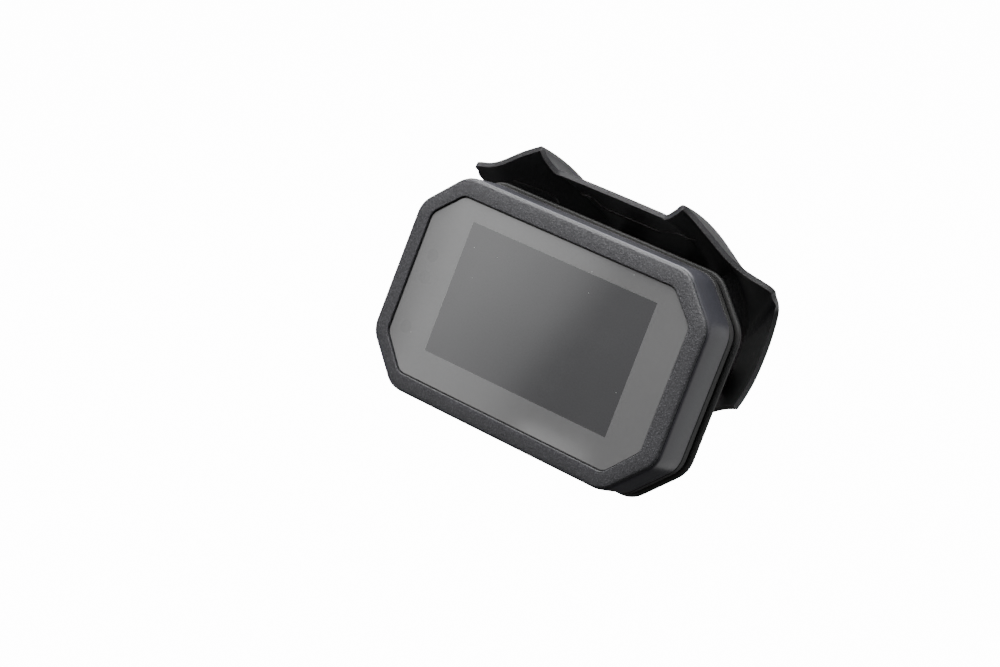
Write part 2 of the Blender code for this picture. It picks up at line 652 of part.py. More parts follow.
def main():
    clear_scene()
    datum = bpy.data.objects.new("machine_datum", None)
    bpy.context.scene.collection.objects.link(datum)
    lean = Matrix.Rotation(-math.radians(RECLINE_DEG), 4, "X")
    datum.rotation_euler = (-math.radians(RECLINE_DEG), 0.0, 0.0)
    datum.location = -(lean @ Vector((0.0, PAD_FACE_Y, PAD_CENTRE_Z))) * MM

    grained = make_material("grained_black_plastic", (0.055, 0.055, 0.060), 0.55)
    satin = make_material("satin_black_plastic", (0.030, 0.030, 0.036), 0.38)
    matte = make_material("matte_black_plastic", (0.020, 0.020, 0.021), 0.60)
    glass = make_material("cover_glass", (0.16, 0.16, 0.17), 0.05, alpha=0.6)
    panel = make_material("lcd_panel", (0.05, 0.05, 0.055), 0.2)
    acrylic = make_material("light_guide_acrylic", (0.85, 0.87, 0.88), 0.15)
    tape = make_material("bond_tape", (0.02, 0.02, 0.02), 0.8)
    silicone = make_material("silicone_seal", (0.20, 0.20, 0.21), 0.7)
    rubber = make_material("isolator_rubber", (0.025, 0.025, 0.025), 0.8)
    steel = make_material("zinc_steel", (0.62, 0.62, 0.60), 0.35, 1.0)
    paint = make_material("bracket_paint", (0.03, 0.03, 0.03), 0.45)
    laminate = make_material("board_laminate", (0.02, 0.16, 0.08), 0.4)
    chip = make_material("chip_black", (0.03, 0.03, 0.03), 0.5)
    gold = make_material("contact_gold", (0.83, 0.62, 0.25), 0.25, 1.0)
    film = make_material("amber_film", (0.55, 0.28, 0.06), 0.4)
    led = make_material("led_lens", (0.90, 0.85, 0.45), 0.3)
    membrane = make_material("vent_grey", (0.12, 0.12, 0.12), 0.6)

    build_bezel(datum, grained)
    build_glass(datum, glass, tape)
    build_housing(datum, satin, silicone)
    build_rear_cover(datum, matte, steel, membrane)
    build_lcd(datum, panel, acrylic, steel, film)
    build_board(datum, laminate, chip, steel, matte, film, led)
    build_socket(datum, matte, gold, silicone)
    build_tray(datum, matte, steel)
    build_bracket(datum, paint)
    build_isolators(datum, rubber, steel)
    build_visor(datum, matte, steel, rubber)


main()
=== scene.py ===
"""Looks of a motorcycle instrument cluster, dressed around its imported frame.

Sizes are millimetres in the display's own axes: x to the rider's right, y from the rider into
the unit, z up the glass, with the origin in the middle of the glass face. DisplayAxes carries
them into the frame, where every finished piece lies in metres.
"""

from __future__ import annotations

import json
import logging
import math
from dataclasses import dataclass, replace
from enum import Enum
from functools import cache
from typing import Any, ClassVar, Iterable, Sequence

import bmesh
import bpy
from mathutils import Matrix, Vector
from mathutils.bvhtree import BVHTree


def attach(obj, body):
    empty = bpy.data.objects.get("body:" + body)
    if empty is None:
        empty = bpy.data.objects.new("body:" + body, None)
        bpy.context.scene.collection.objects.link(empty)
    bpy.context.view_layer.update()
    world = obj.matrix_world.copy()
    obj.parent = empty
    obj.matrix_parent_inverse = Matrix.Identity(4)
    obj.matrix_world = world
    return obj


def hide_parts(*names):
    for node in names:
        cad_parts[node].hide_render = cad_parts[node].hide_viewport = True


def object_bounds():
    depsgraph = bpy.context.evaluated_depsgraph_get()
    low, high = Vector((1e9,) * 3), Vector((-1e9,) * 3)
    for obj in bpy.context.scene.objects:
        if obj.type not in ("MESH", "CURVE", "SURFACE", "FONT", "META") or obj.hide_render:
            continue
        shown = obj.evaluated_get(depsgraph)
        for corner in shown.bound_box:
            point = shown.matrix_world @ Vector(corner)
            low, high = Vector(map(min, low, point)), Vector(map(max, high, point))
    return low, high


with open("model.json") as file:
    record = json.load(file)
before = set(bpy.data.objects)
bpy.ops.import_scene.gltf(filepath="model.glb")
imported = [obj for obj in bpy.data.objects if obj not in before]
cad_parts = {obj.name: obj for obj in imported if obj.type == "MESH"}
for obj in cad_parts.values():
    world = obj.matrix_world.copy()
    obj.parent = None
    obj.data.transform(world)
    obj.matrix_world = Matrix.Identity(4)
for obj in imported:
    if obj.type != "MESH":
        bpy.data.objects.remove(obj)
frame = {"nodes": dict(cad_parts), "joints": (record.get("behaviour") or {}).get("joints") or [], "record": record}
CAD_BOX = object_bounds()

MM = 0.001
LOG = logging.getLogger("cluster")

Form = bmesh.types.BMesh
Socket = bpy.types.NodeSocket
Tree = bpy.types.NodeTree
Solid = bpy.types.Object
Finish = bpy.types.Material
Pair = tuple[float, float]
Triple = tuple[float, float, float]


class Body(Enum):
    """The two bodies that the rubber isolators let move against each other."""

    CARRIER = "carrier"
    DISPLAY = "display_unit"


class Operation(Enum):
    """What a helper body does to the body that it meets."""

    UNION = "UNION"
    DIFFERENCE = "DIFFERENCE"


class Slot(Enum):
    """The record's material slots."""

    GRAINED = "grained_plastic"
    GLASS = "cover_glass"
    TAPE = "bond_tape"
    SATIN = "satin_plastic"
    SILICONE = "silicone"
    MATTE = "matte_plastic"
    VENT = "vent_plastic"
    PANEL = "display_panel"
    ACRYLIC = "clear_acrylic"
    FILM = "amber_film"
    ZINC = "zinc_steel"
    LAMINATE = "board_laminate"
    CHIP = "chip_plastic"
    CAN = "capacitor_can"
    CONTACT = "contact_metal"
    BLACK_STEEL = "black_steel"
    RUBBER = "rubber"
    PAINT = "bracket_paint"
    SCREEN = "screen_plastic"


# Outlines and axes


@dataclass(frozen=True)
class Outline:
    """An eight-sided outline in the xz plane, with rounded corners.

    The cuts are the chamfers' legs, along x and along z.
    """

    half_width: float
    bottom: float
    top: float
    top_cut: Pair
    bottom_cut: Pair
    radius: float
    centre_x: float = 0.0

    def grown(self, by: float) -> Outline:
        """Moves the outline outwards.

        Args:
            by: the distance, negative to shrink.

        Returns:
            The larger or smaller outline.
        """
        leg = by * (2.0 - math.sqrt(2.0))
        return replace(
            self,
            half_width=self.half_width + by,
            bottom=self.bottom - by,
            top=self.top + by,
            top_cut=(self.top_cut[0] + leg, self.top_cut[1] + leg),
            bottom_cut=(self.bottom_cut[0] + leg, self.bottom_cut[1] + leg),
            radius=max(self.radius + by, 0.8),
        )

    def corners(self) -> list[Vector]:
        """The eight sharp corners in order.

        Returns:
            The corners as (x, z).
        """
        w, (tx, tz), (bx, bz) = self.half_width, self.top_cut, self.bottom_cut
        half = [(w - bx, self.bottom), (w, self.bottom + bz), (w, self.top - tz), (w - tx, self.top)]
        mirrored = [(-x, z) for x, z in reversed(half)]
        return [Vector((x + self.centre_x, z)) for x, z in half + mirrored]

    def points(self, steps: int) -> list[Vector]:
        """Walks round the outline with each corner turned into a curve.

        Args:
            steps: how many chords a corner has.

        Returns:
            The points as (x, z).
        """
        corners = self.corners()
        count = len(corners)
        found = []
        for i, corner in enumerate(corners):
            to_last, to_next = corners[i - 1] - corner, corners[(i + 1) % count] - corner
            before, after = to_last.normalized(), to_next.normalized()
            reach = self.radius / math.tan(before.angle(after) / 2.0)
            reach = min(reach, 0.45 * min(to_last.length, to_next.length))
            start, end = corner + before * reach, corner + after * reach
            for step in range(steps + 1):
                t = step / steps
                found.append(start * (1 - t) ** 2 + corner * 2 * t * (1 - t) + end * t**2)
        return found


GLASS = Outline(76.0, -47.2, 42.2, (14.3, 13.6), (14.5, 15.6), 7.0)
HOUSING = Outline(84.4, -55.1, 50.9, (19.9, 19.9), (20.8, 21.2), 13.0)
WINDOW = Outline(60.4, -38.4, 37.8, (1.5, 1.5), (1.5, 1.5), 1.0, 1.9)
TRAY_FLOOR = Outline(76.5, -54.0, 43.5, (16.8, 16.8), (23.8, 24.2), 11.0)
CORNER_STEPS = 10
CORD_SIDES = 12
EDGE_FACES = 3
SMALL_PART_SHARP = 32

# Places as x and z; a screen tab's also has the depth of its rear face
ISOLATOR_PLACES: tuple[Pair, ...] = ((-50.0, 22.0), (50.0, 22.0), (0.0, -38.0))
LAMP_PLACES: tuple[Pair, ...] = ((-67.0, 10.0), (-67.0, -1.0), (-67.0, -26.0))
SCREEN_TABS: tuple[Triple, ...] = (
    (-20.0, 42.0, 83.0),
    (20.0, 42.0, 83.0),
    (-50.0, 4.0, 80.4),
    (50.0, 4.0, 80.4),
)
NOISE_MIDDLE: Pair = (0.3, 0.7)


@dataclass(frozen=True)
class DisplayAxes:
    """The display's axes in the frame: a turn about x, and the place of the glass's middle."""

    turn: Matrix
    origin: Vector

    @classmethod
    def of_frame(cls) -> DisplayAxes:
        """Reads the lean from the isolators' travel and the place from the glass.

        Returns:
            The axes.
        """
        depth = Vector(frame["joints"][0]["axis"]).normalized()
        turn = Matrix.Rotation(math.atan2(depth.z, depth.y), 3, "X")
        low, high = cls(turn, Vector()).span("cover_glass")
        middle_z = (low.z + high.z - GLASS.bottom - GLASS.top) / 2
        origin = turn @ Vector(((low.x + high.x) / 2, low.y, middle_z))
        return cls(turn, origin * MM)

    @property
    def depth(self) -> Vector:
        """The unit direction from the rider into the unit."""
        return self.turn @ Vector((0, 1, 0))

    def matrix(self) -> Matrix:
        """The matrix from display millimetres to frame metres."""
        return Matrix.Translation(self.origin) @ self.turn.to_4x4() @ Matrix.Scale(MM, 4)

    def span(self, node: str) -> tuple[Vector, Vector]:
        """Measures a node of the frame along the display's axes.

        Args:
            node: the node's name.

        Returns:
            Its lowest and highest corner, in display millimetres.
        """
        back = self.turn.transposed()
        places = [(back @ (v.co - self.origin)) / MM for v in frame["nodes"][node].data.vertices]
        low = Vector([min(p[i] for p in places) for i in range(3)])
        high = Vector([max(p[i] for p in places) for i in range(3)])
        return low, high


# Forms, as bmeshes in display millimetres

SectionPoint = tuple[Outline, float, float]


def rounded(outline: Outline, start: Pair, corner: Pair, end: Pair, steps: int = 5) -> list[SectionPoint]:
    """A quarter of an ellipse in a section, from start to end, tangent to both lines to the corner.

    Args:
        outline: the outline that the section's growths are measured from.
        start: growth and depth where the round starts.
        corner: growth and depth of the sharp corner that it replaces.
        end: growth and depth where it ends.
        steps: how many chords it has.

    Returns:
        The section's points along the round.
    """
    found = []
    for step in range(steps + 1):
        angle = math.pi / 2 * step / steps
        a, b = 1 - math.cos(angle), 1 - math.sin(angle)
        growth = corner[0] + (start[0] - corner[0]) * b + (end[0] - corner[0]) * a
        depth = corner[1] + (start[1] - corner[1]) * b + (end[1] - corner[1]) * a
        found.append((outline, growth, depth))
    return found


def swept(section: Sequence[SectionPoint], capped: bool) -> Form:
    """Carries a section round its outlines.

    Args:
        section: outline, growth and depth of each point.
        capped: True for a plate or tray with its first and last outline closed, False for a ring.

    Returns:
        The closed form.
    """
    form = bmesh.new()
    loops = []
    for outline, growth, depth in section:
        points = outline.grown(growth).points(CORNER_STEPS)
        loops.append([form.verts.new((p.x, depth, p.y)) for p in points])
    following = loops[1:] if capped else loops[1:] + loops[:1]
    for first, second in zip(loops, following):
        for i in range(len(first)):
            j = (i + 1) % len(first)
            form.faces.new((first[i], first[j], second[j], second[i]))
    if capped:
        form.faces.new(loops[0])
        form.faces.new(loops[-1])
    return form


def turned(profile: Sequence[Pair], centre: Triple = (0.0, 0.0, 0.0), sides: int = 48) -> Form:
    """A turned form about a line along y.

    Args:
        profile: radius and depth of each point. A radius of zero closes the form at its axis.
        centre: where the line passes, added to every point.
        sides: how many sides it has.

    Returns:
        The closed form.
    """
    form = bmesh.new()
    loops = []
    for radius, depth in profile:
        count = sides if radius > 0 else 1
        angles = [2 * math.pi * i / sides for i in range(count)]
        places = [Vector((radius * math.cos(a), depth, radius * math.sin(a))) for a in angles]
        loops.append([form.verts.new(p + Vector(centre)) for p in places])
    pairs = list(zip(loops, loops[1:]))
    if profile[0][0] > 0 and profile[-1][0] > 0:
        pairs.append((loops[-1], loops[0]))
    for first, second in pairs:
        for i in range(sides):
            j = (i + 1) % sides
            near = (first[i % len(first)], first[j % len(first)])
            far = (second[j % len(second)], second[i % len(second)])
            form.faces.new(list(dict.fromkeys(near + far)))
    return form


def rod(radius: float, start: float, end: float, centre: Triple, sides: int = 32) -> Form:
    """A plain round bar along y between two depths."""
    return turned([(0, start), (radius, start), (radius, end), (0, end)], centre, sides)


def rods(radius: float, start: float, end: float, places: Sequence[Pair], sides: int = 32) -> list[Form]:
    """A round bar at each place."""
    return [rod(radius, start, end, (x, 0, z), sides) for x, z in places]


def on_face(places: Sequence[Pair]) -> list[Triple]:
    """The places at the depth of the glass face."""
    return [(x, 0.0, z) for x, z in places]


def numbered(name: str, count: int) -> tuple[str, ...]:
    """The names of a node's copies, numbered from one."""
    return tuple(f"{name}_{i}" for i in range(1, count + 1))


def block(low: Triple, high: Triple, edge: float = 0.0, segments: int = 3) -> Form:
    """A box between two corners.

    Args:
        low: its lowest corner.
        high: its highest corner.
        edge: how wide its edges are rounded.
        segments: how many faces a rounded edge has.

    Returns:
        The closed form.
    """
    form = bmesh.new()
    bmesh.ops.create_cube(form, size=1.0)
    for vert in form.verts:
        for axis in range(3):
            vert.co[axis] = low[axis] + (vert.co[axis] + 0.5) * (high[axis] - low[axis])
    if edge:
        bmesh.ops.bevel(
            form, geom=list(form.edges), offset=edge, segments=segments, profile=0.5, affect="EDGES"
        )
    return form


def as_object(form: Form, name: str) -> Solid:
    """Makes a linked object from a form, with its faces pointing out.

    Args:
        form: the form. It is freed.
        name: the object's name.

    Returns:
        The object.
    """
    bmesh.ops.recalc_face_normals(form, faces=form.faces)
    mesh = bpy.data.meshes.new(name)
    form.to_mesh(mesh)
    form.free()
    obj = bpy.data.objects.new(name, mesh)
    bpy.context.scene.collection.objects.link(obj)
    return obj


def evaluated_mesh(obj: Solid) -> bpy.types.Mesh:
    """The mesh that an object's modifiers make, as a new one."""
    graph = bpy.context.evaluated_depsgraph_get()
    return bpy.data.meshes.new_from_object(obj.evaluated_get(graph))


def evaluated_form(obj: Solid) -> Form:
    """Makes a form from an object's modifiers, and removes the object.

    Args:
        obj: the object.

    Returns:
        The form.
    """
    mesh = evaluated_mesh(obj)
    form = bmesh.new()
    form.from_mesh(mesh)
    bpy.data.meshes.remove(mesh)
    bpy.data.objects.remove(obj, do_unlink=True)
    return form


def met(form: Form, helpers: Iterable[Form], operation: Operation) -> Form:
    """Joins helper bodies to a form or cuts them from it, with one exact boolean.

    Args:
        form: the body that is changed. It is freed.
        helpers: separate closed bodies. They are freed.
        operation: union or difference.

    Returns:
        The result.
    """
    gathered = bmesh.new()
    for helper in helpers:
        bmesh.ops.recalc_face_normals(helper, faces=helper.faces)
        mesh = bpy.data.meshes.new("helper")
        helper.to_mesh(mesh)
        helper.free()
        gathered.from_mesh(mesh)
        bpy.data.meshes.remove(mesh)
    body, tool = as_object(form, "body_before"), as_object(gathered, "helper_bodies")
    modifier = body.modifiers.new("Meet", "BOOLEAN")
    modifier.operation = operation.value
    modifier.solver = "EXACT"
    modifier.object = tool
    result = evaluated_form(body)
    bpy.data.objects.remove(tool, do_unlink=True)
    return result


# Pieces


@dataclass(frozen=True)
class Tag:
    """What a piece is called, what it rides on, its slot and the nodes that it stands for."""

    name: str
    body: Body
    slot: Slot
    nodes: tuple[str, ...] = ()


@dataclass
class Workshop:
    """Turns forms into finished pieces of the frame."""

    axes: DisplayAxes
    finishes: dict[Slot, Finish]

    def finish_piece(self, obj: Solid, tag: Tag) -> Solid:
        """Puts a piece on its body, hides the nodes that it stands for and reports it.

        Args:
            obj: the piece, at the origin with its place in its mesh.
            tag: what it is.

        Returns:
            The same object.
        """
        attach(obj, tag.body.value)
        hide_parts(*tag.nodes)
        LOG.info("%s: %d faces, on %s", tag.name, len(obj.data.polygons), tag.body.value)
        return obj

    def piece(
        self,
        form: Form,
        tag: Tag,
        edge: float = 0.0,
        sharp: float = 34.0,
    ) -> Solid:
        """Makes a piece from a form.

        Args:
            form: the form in display millimetres. It is freed.
            tag: what the piece is.
            edge: how wide its sharp edges are rounded, in millimetres.
            sharp: the angle in degrees past which an edge is sharp.

        Returns:
            The finished piece.
        """
        obj = as_object(form, tag.name)
        obj.data.transform(self.axes.matrix())
        obj.data.materials.append(self.finishes[tag.slot])
        obj.data.shade_smooth()
        if edge:
            bevel = obj.modifiers.new("Edges", "BEVEL")
            bevel.width = edge * MM
            bevel.segments = EDGE_FACES
            bevel.limit_method = "ANGLE"
            bevel.angle_limit = math.radians(sharp)
            bevel.harden_normals = True
        else:
            obj.data.set_sharp_from_angle(angle=math.radians(sharp))
        return self.finish_piece(obj, tag)

    def repeated(
        self,
        pattern: Form,
        places: Sequence[Triple],
        tag: Tag,
        turn_step: float = 0.0,
        base: Form | None = None,
    ) -> Solid:
        """Makes one piece of a pattern set at several places.

        Args:
            pattern: the repeated form round the display's origin. It is freed.
            places: where it goes, in display millimetres.
            tag: what the piece is.
            turn_step: how far each copy is turned about y from the last, in degrees.
            base: a form that joins the copies, or None. It is freed.

        Returns:
            The finished piece.
        """
        model = as_object(pattern, f"{tag.name}_pattern")
        model.data.transform(self.axes.turn.to_4x4() @ Matrix.Scale(MM, 4))
        bed = as_object(base if base is not None else bmesh.new(), f"{tag.name}_bed")
        bed.data.transform(self.axes.matrix())
        turn = math.radians(turn_step)
        values = {"Pattern": model, "Bed": bed, "Axis": self.axes.depth, "Turn Step": turn}
        return self.grown_from(places, [], repeat_tree(), values, tag)

    def cord_ring(self, path: Sequence[Triple], radius: float, closed: bool, tag: Tag) -> Solid:
        """Makes a piece of round section that follows a path.

        Args:
            path: the centre line, in display millimetres.
            radius: the section's radius.
            closed: True where the path's end joins its start.
            tag: what the piece is.

        Returns:
            The finished piece.
        """
        count = len(path)
        edges = [(i, (i + 1) % count) for i in range(count if closed else count - 1)]
        return self.grown_from(path, edges, follow_tree(), {"Radius": radius * MM}, tag)

    def grown_from(
        self,
        places: Sequence[Triple],
        edges: Sequence[tuple[int, int]],
        tree: Tree,
        values: dict[str, Any],
        tag: Tag,
    ) -> Solid:
        """Makes a piece with a node tree that starts from points, then keeps only its plain mesh.

        Args:
            places: the points, in display millimetres.
            edges: the pairs of points that are joined.
            tree: the node tree.
            values: the tree's inputs by name. Objects among them are removed afterwards.
            tag: what the piece is.

        Returns:
            The finished piece.
        """
        spots = bpy.data.meshes.new(tag.name)
        spots.from_pydata([self.axes.matrix() @ Vector(p) for p in places], edges, [])
        obj = bpy.data.objects.new(tag.name, spots)
        bpy.context.scene.collection.objects.link(obj)
        modifier = obj.modifiers.new("Nodes", "NODES")
        modifier.node_group = tree
        set_inputs(modifier, {**values, "Finish": self.finishes[tag.slot]})
        mesh = evaluated_mesh(obj)
        obj.modifiers.clear()
        obj.data = mesh
        bpy.data.meshes.remove(spots)
        mesh.name = tag.name
        mesh.shade_smooth()
        mesh.set_sharp_from_angle(angle=math.radians(SMALL_PART_SHARP))
        for helper in values.values():
            if isinstance(helper, Solid):
                bpy.data.objects.remove(helper, do_unlink=True)
        return self.finish_piece(obj, tag)


# Nodes


class NodeSheet:
    """Adds and joins the nodes of one tree."""

    def __init__(self, tree: Tree) -> None:
        """Takes the tree that the nodes go in."""
        self.tree = tree

    def node(self, kind: str, inputs: dict[str | int, Any] | None = None, **settings: Any) -> bpy.types.Node:
        """Adds a node.

        Args:
            kind: the node's type.
            inputs: sockets to join, or values to set, by input.
            **settings: the node's own properties.

        Returns:
            The node.
        """
        made = self.tree.nodes.new(kind)
        for key, value in settings.items():
            setattr(made, key, value)
        for key, value in (inputs or {}).items():
            if isinstance(value, Socket):
                self.tree.links.new(value, made.inputs[key])
            else:
                made.inputs[key].default_value = value
        return made

    def spread(self, value: Socket, old: Pair, new: Pair, **settings: Any) -> Socket:
        """Carries a value from one range to another, clamped."""
        values = {"Value": value, "From Min": old[0], "From Max": old[1], "To Min": new[0], "To Max": new[1]}
        return self.node("ShaderNodeMapRange", values, **settings).outputs["Result"]

    def eased(self, value: Socket, old: Pair, new: Pair) -> Socket:
        """Carries a value from one range to another by a soft step."""
        return self.spread(value, old, new, interpolation_type="SMOOTHSTEP")

    def sum(self, kind: str, first: Any, second: Any = 0.0) -> Socket:
        """One step of arithmetic, named as Blender's Math node names it."""
        return self.node("ShaderNodeMath", {0: first, 1: second}, operation=kind).outputs[0]

    def product(self, *bands: tuple[Socket, Pair, Pair]) -> Socket:
        """The product of eased values.

        Args:
            *bands: each value with its old and its new range.

        Returns:
            The product.
        """
        found = self.eased(*bands[0])
        for band in bands[1:]:
            found = self.sum("MULTIPLY", found, self.eased(*band))
        return found

    def split(self, place: Socket) -> tuple[Socket, Socket]:
        """A place's x and z."""
        parts = self.node("ShaderNodeSeparateXYZ", {0: place}).outputs
        return parts["X"], parts["Z"]


def set_inputs(modifier: bpy.types.NodesModifier, values: dict[str, Any]) -> None:
    """Sets a node modifier's inputs through their sockets' identifiers.

    Args:
        modifier: the modifier.
        values: the values by socket name.
    """
    for item in modifier.node_group.interface.items_tree:
        if item.item_type == "SOCKET" and item.name in values:
            modifier[item.identifier] = values[item.name]


def new_tree(name: str, inputs: dict[str, str]) -> Tree:
    """Starts a geometry tree with a geometry in and out.

    Args:
        name: the tree's name.
        inputs: the socket type of each further input by name.

    Returns:
        The tree.
    """
    tree = bpy.data.node_groups.new(name, "GeometryNodeTree")
    tree.interface.new_socket("Geometry", in_out="INPUT", socket_type="NodeSocketGeometry")
    for label, kind in inputs.items():
        tree.interface.new_socket(label, in_out="INPUT", socket_type=kind)
    tree.interface.new_socket("Geometry", in_out="OUTPUT", socket_type="NodeSocketGeometry")
    return tree


@cache
def repeat_tree() -> Tree:
    """The tree that sets a pattern on every point and joins the copies to their bed.

    Returns:
        The tree, made once.
    """
    inputs = {
        "Pattern": "NodeSocketObject",
        "Bed": "NodeSocketObject",
        "Axis": "NodeSocketVector",
        "Turn Step": "NodeSocketFloat",
        "Finish": "NodeSocketMaterial",
    }
    sheet = NodeSheet(new_tree("Repeat Pattern", inputs))
    source = sheet.node("NodeGroupInput").outputs
    pattern = sheet.node("GeometryNodeObjectInfo", {"Object": source["Pattern"]}).outputs["Geometry"]
    bed = sheet.node("GeometryNodeObjectInfo", {"Object": source["Bed"]}).outputs["Geometry"]
    angle = sheet.sum("MULTIPLY", sheet.node("GeometryNodeInputIndex").outputs[0], source["Turn Step"])
    turn = sheet.node("FunctionNodeAxisAngleToRotation", {"Axis": source["Axis"], "Angle": angle})
    points = sheet.node("GeometryNodeMeshToPoints", {"Mesh": source["Geometry"]}).outputs["Points"]
    values = {"Points": points, "Instance": pattern, "Rotation": turn.outputs["Rotation"]}
    copies = sheet.node("GeometryNodeInstanceOnPoints", values).outputs["Instances"]
    together = sheet.node("GeometryNodeJoinGeometry", {"Geometry": copies})
    sheet.tree.links.new(bed, together.inputs["Geometry"])
    return closed_tree(sheet, together.outputs["Geometry"], source["Finish"])


@cache
def follow_tree() -> Tree:
    """The tree that carries a round section along a path of edges.

    Returns:
        The tree, made once.
    """
    inputs = {"Radius": "NodeSocketFloat", "Finish": "NodeSocketMaterial"}
    sheet = NodeSheet(new_tree("Follow Path", inputs))
    source = sheet.node("NodeGroupInput").outputs
    path = sheet.node("GeometryNodeMeshToCurve", {"Mesh": source["Geometry"]}).outputs["Curve"]
    values = {"Resolution": CORD_SIDES, "Radius": source["Radius"]}
    section = sheet.node("GeometryNodeCurvePrimitiveCircle", values).outputs["Curve"]
    values = {"Curve": path, "Profile Curve": section, "Fill Caps": True}
    body = sheet.node("GeometryNodeCurveToMesh", values).outputs["Mesh"]
    return closed_tree(sheet, body, source["Finish"])


def closed_tree(sheet: NodeSheet, geometry: Socket, finish: Socket) -> Tree:
    """Ends a tree: its instances made real, its finish set.

    Args:
        sheet: the tree's sheet.
        geometry: the socket with the geometry so far.
        finish: the socket with the finish.

    Returns:
        The tree.
    """
    real = sheet.node("GeometryNodeRealizeInstances", {"Geometry": geometry}).outputs["Geometry"]
    dressed = sheet.node("GeometryNodeSetMaterial", {"Geometry": real, "Material": finish})
    sheet.node("NodeGroupOutput", {"Geometry": dressed.outputs["Geometry"]})
    return sheet.tree


# Finishes


class Bench(NodeSheet):
    """The nodes of one material, with places read in display millimetres."""

    def __init__(self, name: str, axes: DisplayAxes) -> None:
        """Starts a material.

        Args:
            name: the material's name.
            axes: the display's axes.
        """
        self.material = bpy.data.materials.new(name)
        self.material.use_nodes = True
        super().__init__(self.material.node_tree)
        self.shader = self.tree.nodes["Principled BSDF"]
        place = self.node("ShaderNodeTexCoord")
        mapping = self.node("ShaderNodeMapping", {"Vector": place.outputs["Object"]}, vector_type="TEXTURE")
        mapping.inputs["Location"].default_value = axes.origin
        mapping.inputs["Rotation"].default_value = axes.turn.to_euler()
        mapping.inputs["Scale"].default_value = (MM, MM, MM)
        self.place = mapping.outputs["Vector"]

    def noise(self, size: float, detail: float = 2.0, roughness: float = 0.5) -> Socket:
        """Noise whose features are about a size in millimetres."""
        values = {"Vector": self.place, "Scale": 1.0 / size, "Detail": detail, "Roughness": roughness}
        return self.node("ShaderNodeTexNoise", values).outputs["Fac"]

    def cells(self, size: float) -> Socket:
        """Distance to the nearest of scattered points about a size apart."""
        values = {"Vector": self.place, "Scale": 1.0 / size}
        return self.node("ShaderNodeTexVoronoi", values).outputs["Distance"]

    def blend(self, factor: Any, first: Any, second: Any) -> Socket:
        """A colour between two colours."""
        made = self.node("ShaderNodeMix", {0: factor, 6: first, 7: second}, data_type="RGBA")
        return made.outputs[2]

    def relief(self, height: Socket, depth: float) -> None:
        """Puts a bump on the surface.

        Args:
            height: the bump's height, from nought to one.
            depth: how deep it is, in millimetres.
        """
        bump = self.node("ShaderNodeBump", {"Height": height, "Distance": depth * MM, "Strength": 1.0})
        self.tree.links.new(bump.outputs["Normal"], self.shader.inputs["Normal"])

    def join(self, value: Socket, target: str) -> None:
        """Joins a value to one of the shader's inputs."""
        self.tree.links.new(value, self.shader.inputs[target])

    def fix(self, **values: float) -> None:
        """Sets values that are the same all over the surface, by input name with _ for a space."""
        for key, value in values.items():
            self.shader.inputs[key.replace("_", " ")].default_value = value


def tone(colour: Triple, factor: float) -> tuple[float, float, float, float]:
    """A colour made lighter or darker, with its alpha."""
    return (*(min(1.0, c * factor) for c in colour), 1.0)


@dataclass(frozen=True)
class Recipe:
    """What every finish has. Each kind of finish lays its own nodes on the bench."""

    name: str
    colour: Triple

    def lay(self, bench: Bench) -> None:
        """Lays the finish's nodes on a bench."""
        raise NotImplementedError

    def build(self, axes: DisplayAxes) -> Finish:
        """Makes the material.

        Args:
            axes: the display's axes.

        Returns:
            The material.
        """
        bench = Bench(self.name, axes)
        self.lay(bench)
        return bench.material


@dataclass(frozen=True)
class Moulded(Recipe):
    """Moulded plastic or rubber: mottled colour, uneven gloss and a tool-mark grain."""

    cloud: ClassVar[float] = 18.0
    fleck_band: ClassVar[Pair] = (0.52, 0.78)
    fleck_tone: ClassVar[float] = 5.0
    roughness: float
    grain: float
    depth: float
    specular: float = 0.5
    mottle: float = 0.12
    speckle: float = 0.0

    def lay(self, bench: Bench) -> None:
        """Lays the finish's nodes.

        Args:
            bench: the bench that they go on.
        """
        cloudy = bench.noise(self.cloud, 3.0)
        pits = bench.cells(self.grain)
        fine = bench.noise(self.grain * 0.7, 2.0, 0.65)
        base = bench.blend(cloudy, tone(self.colour, 1 - self.mottle), tone(self.colour, 1 + self.mottle))
        flecks = bench.spread(fine, self.fleck_band, (0.0, self.speckle))
        bench.join(bench.blend(flecks, base, tone(self.colour, self.fleck_tone)), "Base Color")
        gloss = bench.spread(fine, NOISE_MIDDLE, (self.roughness - 0.05, self.roughness + 0.06))
        bench.join(gloss, "Roughness")
        bench.relief(bench.sum("ADD", bench.sum("MULTIPLY", pits, 0.6), fine), self.depth)
        bench.fix(Specular_IOR_Level=self.specular)


